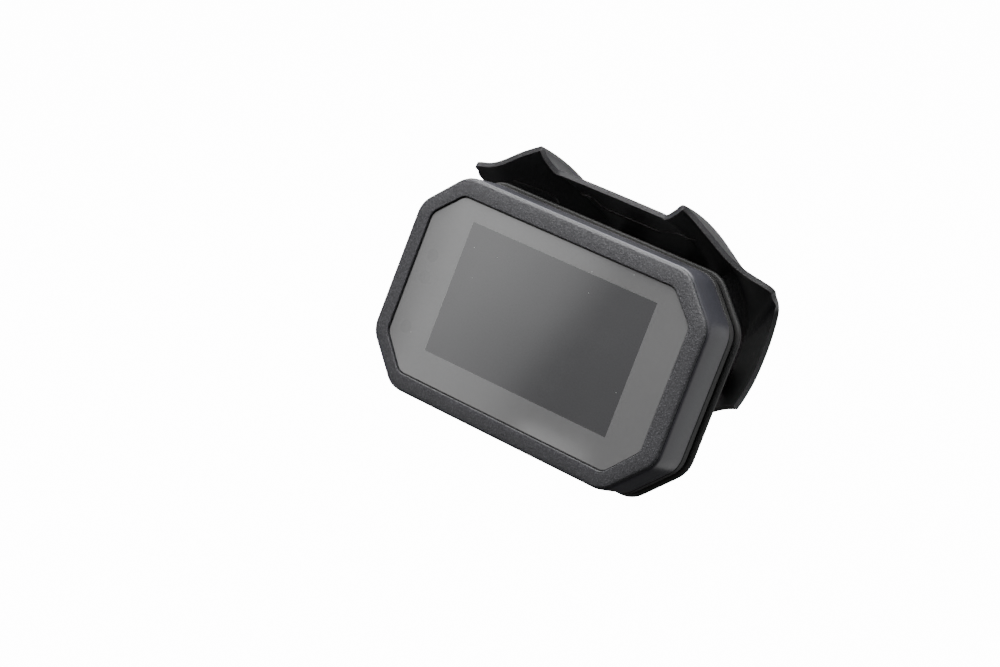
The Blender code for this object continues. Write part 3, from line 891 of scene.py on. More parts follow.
@dataclass(frozen=True)
class PrintedGlass(Recipe):
    """Cover glass: gloss over a printed border, in its colour, and the darker panel behind it."""

    panel: Triple
    panel_centre_x: float = 1.9
    panel_half: Pair = (54.0, 32.4)
    lamp_radius: float = 3.4
    dust_spacing: float = 8.5

    def inside(self, bench: Bench, value: Socket, half: float) -> Socket:
        """One where a value is within a distance of zero, nought outside, with a crisp edge."""
        return bench.spread(bench.sum("ABSOLUTE", value), (half + 0.08, half - 0.08), (0.0, 1.0))

    def lay(self, bench: Bench) -> None:
        """Lays the finish's nodes.

        Args:
            bench: the bench that they go on.
        """
        x, z = bench.split(bench.place)
        across = self.inside(bench, bench.sum("SUBTRACT", x, self.panel_centre_x), self.panel_half[0])
        upright = self.inside(bench, z, self.panel_half[1])
        window = bench.sum("MULTIPLY", across, upright)
        cloudy = bench.noise(40.0, 2.0)
        border = bench.blend(cloudy, tone(self.colour, 0.93), tone(self.colour, 1.07))
        for lamp_x, lamp_z in LAMP_PLACES:
            dx, dz = bench.sum("SUBTRACT", x, lamp_x), bench.sum("SUBTRACT", z, lamp_z)
            square = bench.sum("ADD", bench.sum("MULTIPLY", dx, dx), bench.sum("MULTIPLY", dz, dz))
            radius = bench.sum("SQRT", square)
            disc = bench.spread(radius, (self.lamp_radius, self.lamp_radius - 0.4), (0.0, 0.22))
            border = bench.blend(disc, border, tone(self.colour, 0.55))
        colour = bench.blend(window, border, tone(self.panel, 1.0))
        specks = bench.spread(bench.cells(self.dust_spacing), (0.032, 0.018), (0.0, 0.35))
        bench.join(bench.blend(specks, colour, (0.6, 0.6, 0.6, 1.0)), "Base Color")
        smears = bench.spread(bench.noise(25.0, 4.0, 0.6), (0.35, 0.7), (0.04, 0.09))
        bench.join(smears, "Roughness")
        bench.relief(bench.noise(60.0, 1.0), 0.02)
        bench.fix(Specular_IOR_Level=0.5, IOR=1.5)


@dataclass(frozen=True)
class Metal(Recipe):
    """Plated or painted metal with a fine uneven skin."""

    roughness: float
    metallic: float
    skin: float
    depth: float
    specular: float = 0.5
    stain: float = 0.15

    def lay(self, bench: Bench) -> None:
        """Lays the finish's nodes.

        Args:
            bench: the bench that they go on.
        """
        cloudy, skin = bench.noise(6.0, 4.0, 0.6), bench.noise(self.skin, 3.0)
        base = bench.blend(cloudy, tone(self.colour, 1 - self.stain), tone(self.colour, 1 + self.stain))
        bench.join(base, "Base Color")
        gloss = bench.spread(cloudy, NOISE_MIDDLE, (self.roughness - 0.06, self.roughness + 0.08))
        bench.join(gloss, "Roughness")
        bench.relief(skin, self.depth)
        bench.fix(Metallic=self.metallic, Specular_IOR_Level=self.specular)


@dataclass(frozen=True)
class TracedFilm(Recipe):
    """A board or a flexible film, with copper tracks that show through its coating."""

    track: Triple
    pitch: float
    roughness: float

    def lay(self, bench: Bench) -> None:
        """Lays the finish's nodes.

        Args:
            bench: the bench that they go on.
        """
        values = {"Vector": bench.place, "Scale": 0.5 / self.pitch, "Distortion": 0.0, "Detail": 0.0}
        lines = bench.node("ShaderNodeTexWave", values, bands_direction="X").outputs["Fac"]
        patches = bench.spread(bench.noise(9.0, 0.0), (0.47, 0.5), (0.0, 1.0))
        tracks = bench.sum("MULTIPLY", bench.spread(lines, (0.62, 0.72), (0.0, 1.0)), patches)
        bench.join(bench.blend(tracks, tone(self.colour, 1.0), tone(self.track, 1.0)), "Base Color")
        band = (self.roughness - 0.05, self.roughness + 0.05)
        bench.join(bench.spread(bench.noise(4.0), NOISE_MIDDLE, band), "Roughness")
        bench.relief(tracks, 0.03)


@dataclass(frozen=True)
class Clear(Recipe):
    """Cast acrylic with extraction dots on its face."""

    roughness: float

    def lay(self, bench: Bench) -> None:
        """Lays the finish's nodes.

        Args:
            bench: the bench that they go on.
        """
        dots = bench.spread(bench.cells(1.6), (0.3, 0.2), (0.0, 1.0))
        bench.join(bench.blend(dots, tone(self.colour, 0.92), tone(self.colour, 1.1)), "Base Color")
        bench.join(bench.spread(dots, (0.0, 1.0), (self.roughness, 0.5)), "Roughness")
        bench.relief(dots, 0.02)


def all_finishes(axes: DisplayAxes) -> dict[Slot, Finish]:
    """Makes the finish of every slot.

    Args:
        axes: the display's axes.

    Returns:
        The materials by slot.
    """
    # Moulded: roughness, grain and its depth, then specular, mottle and speckle.
    # Metal: roughness, metallic, skin and its depth, then specular and stain.
    table = {
        Slot.GRAINED: Moulded("grained_black", (0.026, 0.026, 0.029), 0.40, 0.75, 0.22, 0.5, 0.10, 0.60),
        Slot.GLASS: PrintedGlass("printed_cover_glass", (0.078, 0.078, 0.079), (0.012, 0.012, 0.014)),
        Slot.TAPE: Moulded("foam_tape", (0.018, 0.018, 0.018), 0.85, 0.6, 0.12),
        Slot.SATIN: Moulded("satin_black", (0.030, 0.030, 0.037), 0.34, 0.5, 0.012, 0.5, 0.10),
        Slot.SILICONE: Moulded("silicone_seal", (0.05, 0.05, 0.052), 0.62, 0.5, 0.02),
        Slot.MATTE: Moulded("matte_black", (0.018, 0.018, 0.018), 0.55, 0.7, 0.04, 0.4, 0.15, 0.10),
        Slot.VENT: Moulded("vent_grey", (0.12, 0.12, 0.12), 0.6, 0.5, 0.03),
        Slot.PANEL: Moulded("panel_polariser", (0.03, 0.03, 0.035), 0.22, 0.3, 0.004),
        Slot.ACRYLIC: Clear("guide_acrylic", (0.80, 0.83, 0.85), 0.15),
        Slot.FILM: TracedFilm("polyimide_film", (0.42, 0.19, 0.03), (0.62, 0.33, 0.10), 0.8, 0.38),
        Slot.ZINC: Metal("bright_zinc", (0.60, 0.61, 0.62), 0.32, 1.0, 0.4, 0.015),
        Slot.LAMINATE: TracedFilm("solder_mask", (0.010, 0.085, 0.040), (0.05, 0.19, 0.08), 0.9, 0.36),
        Slot.CHIP: Moulded("chip_epoxy", (0.022, 0.022, 0.023), 0.6, 0.25, 0.01),
        Slot.CAN: Metal("aluminium_can", (0.72, 0.73, 0.75), 0.28, 1.0, 0.5, 0.01),
        Slot.CONTACT: Metal("tinned_contacts", (0.78, 0.68, 0.45), 0.25, 1.0, 0.3, 0.008),
        Slot.BLACK_STEEL: Metal("black_oxide", (0.035, 0.035, 0.037), 0.42, 0.8, 0.4, 0.015),
        Slot.RUBBER: Moulded("isolator_rubber", (0.016, 0.016, 0.016), 0.72, 0.5, 0.04, 0.35),
        Slot.PAINT: Metal("powder_coat", (0.020, 0.020, 0.021), 0.46, 0.0, 0.9, 0.05, 0.45),
        Slot.SCREEN: Moulded("screen_black", (0.036, 0.036, 0.038), 0.38, 0.6, 0.09, 0.50, 0.12, 0.35),
    }
    return {slot: finish.build(axes) for slot, finish in table.items()}


def dress_nodes(finishes: dict[Slot, Finish]) -> None:
    """Gives every node that still shows the finish of its slot.

    Args:
        finishes: the materials by slot.
    """
    for part in frame["record"]["subparts"]:
        node = frame["nodes"][part["node"]]
        if not node.hide_render:
            slot = Slot(part["material_slot"])
            node.data.materials.clear()
            node.data.materials.append(finishes[slot])
            LOG.info("%s keeps its own mesh, in %s", part["node"], slot.value)


# Sub-assemblies


@dataclass
class FrontFrame:
    """The grained bezel and the cover glass set in it."""

    shop: Workshop
    face: float = -1.45
    crown: float = 0.95
    back: float = 2.3
    edge_round: Pair = (1.3, 1.2)
    glass_thick: float = 1.8
    glass_sharp: float = 5.0

    def bezel(self) -> None:
        """Builds the bezel ring: a flat grained face with a soft outer edge and a thin neck."""
        run, drop = self.edge_round
        section = [(GLASS, 0.0, self.back)]
        shoulder = self.face + self.crown
        section += rounded(GLASS, (-0.1, self.face + 0.35), (-0.1, self.face), (0.35, self.face), 4)
        section += rounded(HOUSING, (-run, shoulder), (0.0, shoulder + 0.1), (0.0, shoulder + drop), 8)
        section += rounded(HOUSING, (0.0, 0.4), (0.0, 0.6), (-0.2, 0.6), 3)
        section += [(HOUSING, -1.4, 0.6), (HOUSING, -1.4, self.back)]
        tag = Tag("bezel_ring", Body.DISPLAY, Slot.GRAINED, ("front_bezel",))
        self.shop.piece(swept(section, capped=False), tag)

    def glass(self) -> None:
        """Builds the cover glass, with its ground edge."""
        section = rounded(GLASS, (-0.8, -0.25), (-0.4, -0.25), (-0.4, 0.15), 4)
        section.append((GLASS, -0.4, self.glass_thick))
        tag = Tag("glass_plate", Body.DISPLAY, Slot.GLASS, ("cover_glass",))
        self.shop.piece(swept(section, capped=True), tag, sharp=self.glass_sharp)

    def build(self) -> None:
        """Builds the sub-assembly."""
        self.bezel()
        self.glass()


@dataclass
class HousingShell:
    """The sealed case behind the bezel: middle housing, seal, rear cover and breather."""

    shop: Workshop
    front: float = 1.5
    parting: float = 20.3
    flange_back: float = 24.5
    cover_back: float = 36.0
    cover_screws: tuple[Pair, ...] = (
        (-45.0, 46.2),
        (45.0, 46.2),
        (-79.7, -8.0),
        (79.7, -8.0),
        (-45.0, -50.4),
        (45.0, -50.4),
    )
    posts: tuple[Pair, ...] = ((-67.5, 28.0), (67.5, 28.0), (-67.5, -13.5), (67.5, -13.5))
    socket_half: Pair = (17.3, 8.3)
    socket_z: float = -14.0
    vent: Pair = (34.0, -20.0)

    def middle(self) -> None:
        """Builds the middle housing with its screw bosses and lamp holes."""
        front, parting = self.front, self.parting
        section = [(WINDOW, 0.0, 2.6), (HOUSING, -1.1, 2.6), (HOUSING, -1.1, front)]
        section += [(HOUSING, -0.3, front)]
        section += rounded(HOUSING, (-0.3, front), (0.25, front), (0.5, front + 0.7), 4)
        section += [(HOUSING, 0.6, front + 2.0)]
        section += rounded(HOUSING, (0.9, parting - 0.35), (0.9, parting), (0.6, parting), 3)
        section += [(HOUSING, 0.0, parting), (HOUSING, 0.0, parting - 1.0)]
        section += [(HOUSING, -1.1, parting - 1.0), (HOUSING, -1.1, parting)]
        section += [(HOUSING, -1.9, parting), (HOUSING, -1.9, 4.6), (WINDOW, 0.0, 4.6)]
        bosses = rods(3.2, 3.6, parting - 0.1, self.cover_screws) + rods(2.8, 3.6, 12.9, self.posts)
        bores = rods(1.7, 8.0, parting + 1.0, self.cover_screws, 16) + rods(1.4, 6.5, 14.0, self.posts, 16)
        bores += rods(3.2, 1.6, 5.6, LAMP_PLACES)
        form = met(swept(section, capped=False), bosses, Operation.UNION)
        form = met(form, bores, Operation.DIFFERENCE)
        tag = Tag("middle_housing", Body.DISPLAY, Slot.SATIN, ("mid_housing",))
        self.shop.piece(form, tag)

    def seal(self) -> None:
        """Builds the seal cord in the parting groove."""
        path = HOUSING.grown(-0.58).points(CORNER_STEPS)
        line = [(p.x, self.parting - 0.33, p.y) for p in path]
        tag = Tag("seal_cord", Body.DISPLAY, Slot.SILICONE, ("perimeter_seal",))
        self.shop.cord_ring(line, 0.44, True, tag)

    def cover(self) -> None:
        """Builds the rear cover: a flange, a drafted pan and three posts for the isolators."""
        flange, back = self.flange_back, self.cover_back
        section = [(HOUSING, -11.2, back - 2.0), (HOUSING, -10.1, 20.6)]
        section += rounded(HOUSING, (0.7, 20.6), (1.0, 20.6), (1.0, 20.9), 3)
        section += rounded(HOUSING, (1.0, flange - 0.5), (1.0, flange), (0.5, flange), 4)
        section += [(HOUSING, -7.9, flange)]
        section += rounded(HOUSING, (-8.7, back - 1.4), (-8.8, back), (-10.2, back), 5)
        posts = rods(6.0, back - 8.0, 41.0, ISOLATOR_PLACES)
        w, h = self.socket_half
        cuts = rods(2.7, back - 5.0, 42.0, ISOLATOR_PLACES) + rods(1.8, 19.6, 26.0, self.cover_screws, 16)
        cuts.append(block((-w, 30.0, self.socket_z - h), (w, 38.0, self.socket_z + h)))
        cuts.append(rod(2.8, 30.0, 38.0, (self.vent[0], 0, self.vent[1])))
        form = met(swept(section, capped=True), posts, Operation.UNION)
        form = met(form, cuts, Operation.DIFFERENCE)
        tag = Tag("rear_pan", Body.DISPLAY, Slot.MATTE, ("rear_cover",))
        self.shop.piece(form, tag)

    def breather(self) -> None:
        """Builds the breather's cap with its six slots."""
        profile = [(0, 32.5), (2.5, 32.5), (2.5, 36.1), (5.3, 36.1), (5.5, 36.3), (5.5, 37.5)]
        profile += [(5.2, 38.0), (4.7, 38.3), (0, 38.3)]
        centre = (self.vent[0], 0.0, self.vent[1])
        slots = []
        for i in range(6):
            slot = block((-0.35, 37.4, 2.0), (0.35, 39.0, 6.0))
            turn = Matrix.Rotation(math.pi / 3 * i, 4, "Y")
            bmesh.ops.transform(slot, matrix=Matrix.Translation(centre) @ turn, verts=slot.verts)
            slots.append(slot)
        tag = Tag("breather_cap", Body.DISPLAY, Slot.VENT, ("breather_vent",))
        self.shop.piece(met(turned(profile, centre), slots, Operation.DIFFERENCE), tag)

    def build(self) -> None:
        """Builds the sub-assembly."""
        self.middle()
        self.seal()
        self.cover()
        self.breather()


@dataclass
class PlugSocket:
    """The sealed header for the loom: shroud, collar, gasket and two rows of pins."""

    shop: Workshop
    half: Pair = (17.0, 8.0)
    inner: Pair = (15.0, 6.0)
    centre_z: float = -14.0
    root: float = 14.7
    mouth: float = 41.0
    pins: int = 6
    pitch: float = 4.0
    rows: Pair = (-2.5, 2.5)
    keys: Triple = (-9.0, 9.0, 11.0)

    def shroud(self) -> None:
        """Builds the shroud, with its collar and keying ribs."""
        (w, h), (iw, ih), z = self.half, self.inner, self.centre_z
        form = block((-w, self.root, z - h), (w, self.mouth, z + h), 1.0, 4)
        collar = [block((-w - 2.5, 37.3, z - h - 2.5), (w + 2.5, 38.6, z + h + 2.5), 0.4)]
        form = met(form, collar, Operation.UNION)
        cavity = [block((-iw, 27.0, z - ih), (iw, 45.0, z + ih), 0.6)]
        form = met(form, cavity, Operation.DIFFERENCE)
        low, high = (28.0, z + ih - 0.9), (40.0, z + ih + 0.5)
        keys = [block((x - 0.6, *low), (x + 0.6, *high)) for x in self.keys]
        form = met(form, keys, Operation.UNION)
        tag = Tag("plug_shroud", Body.DISPLAY, Slot.MATTE, ("connector_shroud",))
        self.shop.piece(form, tag)

    def gasket(self) -> None:
        """Builds the flat gasket under the collar."""
        (w, h), z = self.half, self.centre_z
        form = block((-w - 2.0, 36.1, z - h - 2.0), (w + 2.0, 37.2, z + h + 2.0), 0.3)
        hole = [block((-w - 0.2, 35.0, z - h - 0.2), (w + 0.2, 39.0, z + h + 0.2))]
        tag = Tag("shroud_gasket", Body.DISPLAY, Slot.SILICONE, ("connector_gasket",))
        self.shop.piece(met(form, hole, Operation.DIFFERENCE), tag)

    def contacts(self) -> None:
        """Builds the twelve pins with their tapered tips on one bed."""
        iw, ih, z = self.inner[0] - 1, self.inner[1] - 1, self.centre_z
        bed = block((-iw, 27.2, z - ih), (iw, 28.6, z + ih), 0.2)
        pin = block((-0.5, 28.4, -0.4), (0.5, 35.0, 0.4))
        ends = [f for f in pin.faces if f.normal.y > 0.9 or f.calc_center_median().y > 34.9]
        tip = bmesh.ops.extrude_face_region(pin, geom=ends)["geom"]
        moved = [v for v in tip if isinstance(v, bmesh.types.BMVert)]
        bmesh.ops.delete(pin, geom=ends, context="FACES_ONLY")
        for vert in moved:
            vert.co = Vector((vert.co.x * 0.45, 36.0, vert.co.z * 0.45))
        columns = [(i - (self.pins - 1) / 2) * self.pitch for i in range(self.pins)]
        places = [(x, 0.0, z + row) for row in self.rows for x in columns]
        tag = Tag("plug_pins", Body.DISPLAY, Slot.CONTACT, ("contact_comb",))
        self.shop.repeated(pin, places, tag, base=bed)

    def build(self) -> None:
        """Builds the sub-assembly."""
        self.shroud()
        self.gasket()
        self.contacts()


@dataclass
class Carrier:
    """The tray that the display floats in, and the pressed bracket behind it."""

    shop: Workshop
    rim: float = 27.0
    floor_front: float = 40.5
    floor_back: float = 43.2
    plate: Pair = (43.5, 46.5)
    pad_face: float = 58.5
    pad_centre_z: float = 24.0
    tray_screws: tuple[Pair, ...] = ((-30.0, 27.0), (30.0, 27.0), (-21.0, -31.0), (21.0, -31.0))
    stay_thick: float = 2.5

    def tray(self) -> None:
        """Builds the tray: a rolled rim, a skirt that turns in, a pierced floor."""
        front, back = self.floor_front, self.floor_back
        section = [(TRAY_FLOOR, -3.2, front), (TRAY_FLOOR, -2.0, 38.4), (HOUSING, -0.6, 29.4)]
        section += rounded(HOUSING, (-0.2, self.rim + 0.4), (-0.2, self.rim), (0.3, self.rim), 3)
        section += rounded(HOUSING, (1.6, self.rim), (2.4, self.rim), (2.4, self.rim + 0.9), 5)
        section.append((HOUSING, 2.4, self.rim + 1.8))
        section += rounded(TRAY_FLOOR, (0.9, 40.2), (0.6, back), (-2.4, back), 6)
        cuts = rods(10.5, 38.0, 45.0, ISOLATOR_PLACES, 48)
        cuts.append(block((-22.0, 38.0, -25.0), (22.0, 45.0, 8.0)))
        cuts += rods(2.4, 38.0, 45.0, self.tray_screws)
        form = met(swept(section, capped=True), cuts, Operation.DIFFERENCE)
        tag = Tag("tray_moulding", Body.CARRIER, Slot.MATTE, ("carrier_tray",))
        self.shop.piece(form, tag)

    def stay_parts(self, x: float, z: float, tab: float) -> tuple[Form, Form]:
        """The strip from the plate to a screen tab, and the end turned up to meet the tab.

        Args:
            x: the screw's place.
            z: the screw's height.
            tab: the depth of the tab's rear face.

        Returns:
            The strip and the upright.
        """
        foot, end = z - 8.0, tab - 1.4
        strip = block((x - 6, self.plate[1] - 1.0, foot), (x + 6, end, foot + self.stay_thick))
        upright = block((x - 6, end - self.stay_thick, z - 7.5), (x + 6, end, z + 5.0))
        return strip, upright

    def bracket(self) -> None:
        """Builds the bracket: plate, mounting pad, stays and their holes."""
        outer = Outline(64.0, -53.0, 37.0, (14.0, 14.0), (47.0, 58.0), 9.0)
        form = swept([(outer, 0.0, self.plate[0]), (outer, 0.0, self.plate[1])], capped=True)
        low_z, high_z = self.pad_centre_z - 9, self.pad_centre_z + 9
        pad = block((-34.0, self.plate[1] - 1.0, low_z), (34.0, self.pad_face, high_z), 1.5, 4)
        parts = [self.stay_parts(*stay) for stay in SCREEN_TABS]
        form = met(form, [pad] + [strip for strip, _ in parts], Operation.UNION)
        form = met(form, [upright for _, upright in parts], Operation.UNION)
        cuts = rods(8.0, 40.0, 50.0, ISOLATOR_PLACES, 48)
        cuts.append(block((-21.0, 40.0, -24.0), (21.0, 50.0, 6.0)))
        cuts += [rod(2.3, 40.0, 49.8 if z > 0 else 50.0, (x, 0, z), 24) for x, z in self.tray_screws]
        cuts += [rod(2.3, y - 6.0, y, (x, 0, z), 24) for x, z, y in SCREEN_TABS]
        bolt = (self.pad_face - 11.0, self.pad_face + 1.0)
        cuts += [rod(3.4, *bolt, (x, 0, self.pad_centre_z), 32) for x in (-22.0, 22.0)]
        form = met(form, cuts, Operation.DIFFERENCE)
        tag = Tag("pressed_bracket", Body.CARRIER, Slot.PAINT, ("mounting_bracket",))
        self.shop.piece(form, tag, edge=0.35)

    def build(self) -> None:
        """Builds the sub-assembly."""
        self.tray()
        self.bracket()


@dataclass
class Isolators:
    """Three rubber grommets with their steel sleeves and washers."""

    shop: Workshop

    def build(self) -> None:
        """Builds the sub-assembly."""
        spots, count = on_face(ISOLATOR_PLACES), len(ISOLATOR_PLACES)
        rubber = [(4.4, 42.2), (9.0, 42.2), (9.5, 42.4), (9.6, 42.8), (9.4, 43.2), (7.8, 43.3), (7.8, 46.7)]
        rubber += [(9.4, 46.8), (9.6, 47.2), (9.5, 47.6), (9.0, 47.8), (6.4, 47.8), (6.1, 47.5), (4.4, 47.5)]
        tag = Tag("rubber_grommets", Body.CARRIER, Slot.RUBBER, numbered("rubber_grommet", count))
        self.shop.repeated(turned(rubber), spots, tag)
        sleeve = [(2.8, 41.3), (2.9, 41.2), (4.1, 41.2), (4.2, 41.3), (4.2, 48.7), (4.1, 48.8), (2.9, 48.8)]
        sleeve.append((2.8, 48.7))
        tag = Tag("spacer_sleeves", Body.DISPLAY, Slot.ZINC, numbered("grommet_sleeve", count))
        self.shop.repeated(turned(sleeve), spots, tag)
        washer = [(2.8, 49.0), (8.4, 49.0), (8.5, 49.15), (8.5, 50.0), (8.3, 50.2), (2.8, 50.2)]
        tag = Tag("flat_washers", Body.DISPLAY, Slot.ZINC, numbered("isolator_washer", count))
        self.shop.repeated(turned(washer), spots, tag)


@dataclass
class Fasteners:
    """The screws, each with a six-sided drive."""

    shop: Workshop
    pitch: float = 0.8
    thread: float = 0.3

    def drive(self, profile: Sequence[Pair], recess: float, floor: float, top: float) -> Form:
        """A turned screw with a hexagon recess cut in its head.

        Args:
            profile: the screw's radius and depth along its axis.
            recess: the recess's half width across corners.
            floor: the recess's bottom.
            top: a depth past the head's top, on the side that the recess opens to.

        Returns:
            The form.
        """
        low, high = sorted((floor, top))
        return met(turned(profile), [rod(recess, low, high, (0, 0, 0), 6)], Operation.DIFFERENCE)

    def shank(self, start: float, end: float, radius: float) -> list[Pair]:
        """A threaded shank's profile between two depths, as a row of crests and roots.

        Args:
            start: the depth where it starts.
            end: the depth where it ends.
            radius: the crests' radius.

        Returns:
            The profile's points.
        """
        steps = max(2, int((end - start) / self.pitch))
        root = radius - self.thread
        found = []
        for i in range(steps):
            depth = start + (end - start) * i / steps
            found += [(root, depth), (radius, depth + (end - start) / steps / 2)]
        return found + [(root, end)]

    def cover_screws(self, places: Sequence[Pair]) -> None:
        """Builds the six screws that close the sealed case.

        Args:
            places: where they go, as x and z.
        """
        head = 24.6
        profile = [(0, 9.0)] + self.shank(10.5, head - 0.4, 1.3)
        profile += [(1.3, head), (2.7, head), (2.8, head + 0.15), (2.8, head + 1.2)]
        profile += [(2.5, head + 1.8), (1.9, head + 2.1), (0, head + 2.1)]
        form = self.drive(profile, 1.25, head + 0.9, head + 3.0)
        tag = Tag("case_screws", Body.DISPLAY, Slot.ZINC, numbered("cover_screw", len(places)))
        self.shop.repeated(form, on_face(places), tag, turn_step=17)

    def isolator_screws(self) -> None:
        """Builds the three shouldered screws through the isolators."""
        profile = [(0, 32.0)] + self.shank(33.0, 41.0, 2.4) + [(2.4, 41.2), (2.4, 50.4), (4.4, 50.4)]
        profile += [(4.6, 50.6), (4.6, 52.6), (4.3, 53.2), (3.8, 53.4), (0, 53.4)]
        form = self.drive(profile, 2.3, 51.4, 55.0)
        tag = Tag("isolator_bolts", Body.DISPLAY, Slot.ZINC, numbered("isolator_screw", 3))
        self.shop.repeated(form, on_face(ISOLATOR_PLACES), tag, turn_step=23)

    def tray_screws(self, places: Sequence[Pair]) -> None:
        """Builds the four screws from the tray's floor into the bracket.

        Args:
            places: where they go, as x and z.
        """
        top = 40.4
        profile = [(0, top - 2.0), (2.6, top - 2.0), (3.3, top - 1.7), (3.6, top - 1.1), (3.6, top - 0.1)]
        profile += [(3.5, top), (2.0, top)] + self.shank(top + 0.8, 48.6, 2.0) + [(0, 49.0)]
        form = self.drive(profile, 1.6, top - 0.9, top - 3.0)
        tag = Tag("floor_screws", Body.CARRIER, Slot.BLACK_STEEL, numbered("tray_screw", 4))
        self.shop.repeated(form, on_face(places), tag, turn_step=31)

    def screen_screws(self, places: Sequence[Triple], tab: float) -> None:
        """Builds the four screws and rubber spacers that hold the fly screen.

        Args:
            places: x, z and the tab's rear face for each screw.
            tab: the tab's thickness.
        """
        seat = tab + 0.1
        profile = [(0, -9.0)] + self.shank(-8.0, seat - 0.5, 2.0)
        profile += [(2.0, seat), (4.1, seat), (4.3, seat + 0.2), (4.3, seat + 0.9)]
        profile += [(3.9, seat + 1.7), (3.1, seat + 2.2), (0, seat + 2.2)]
        form = self.drive(profile, 1.9, seat + 0.9, seat + 4.0)
        spots = [(x, y, z) for x, z, y in places]
        tag = Tag("screen_bolts", Body.CARRIER, Slot.BLACK_STEEL, numbered("screen_screw", 4))
        self.shop.repeated(form, spots, tag, turn_step=19)
        spacer = [(2.3, -1.3), (4.4, -1.3), (4.6, -1.1), (4.6, -0.3), (4.4, -0.1), (2.3, -0.1)]
        tag = Tag("screen_rubbers", Body.CARRIER, Slot.RUBBER, numbered("screen_spacer", 4))
        self.shop.repeated(turned(spacer), spots, tag)


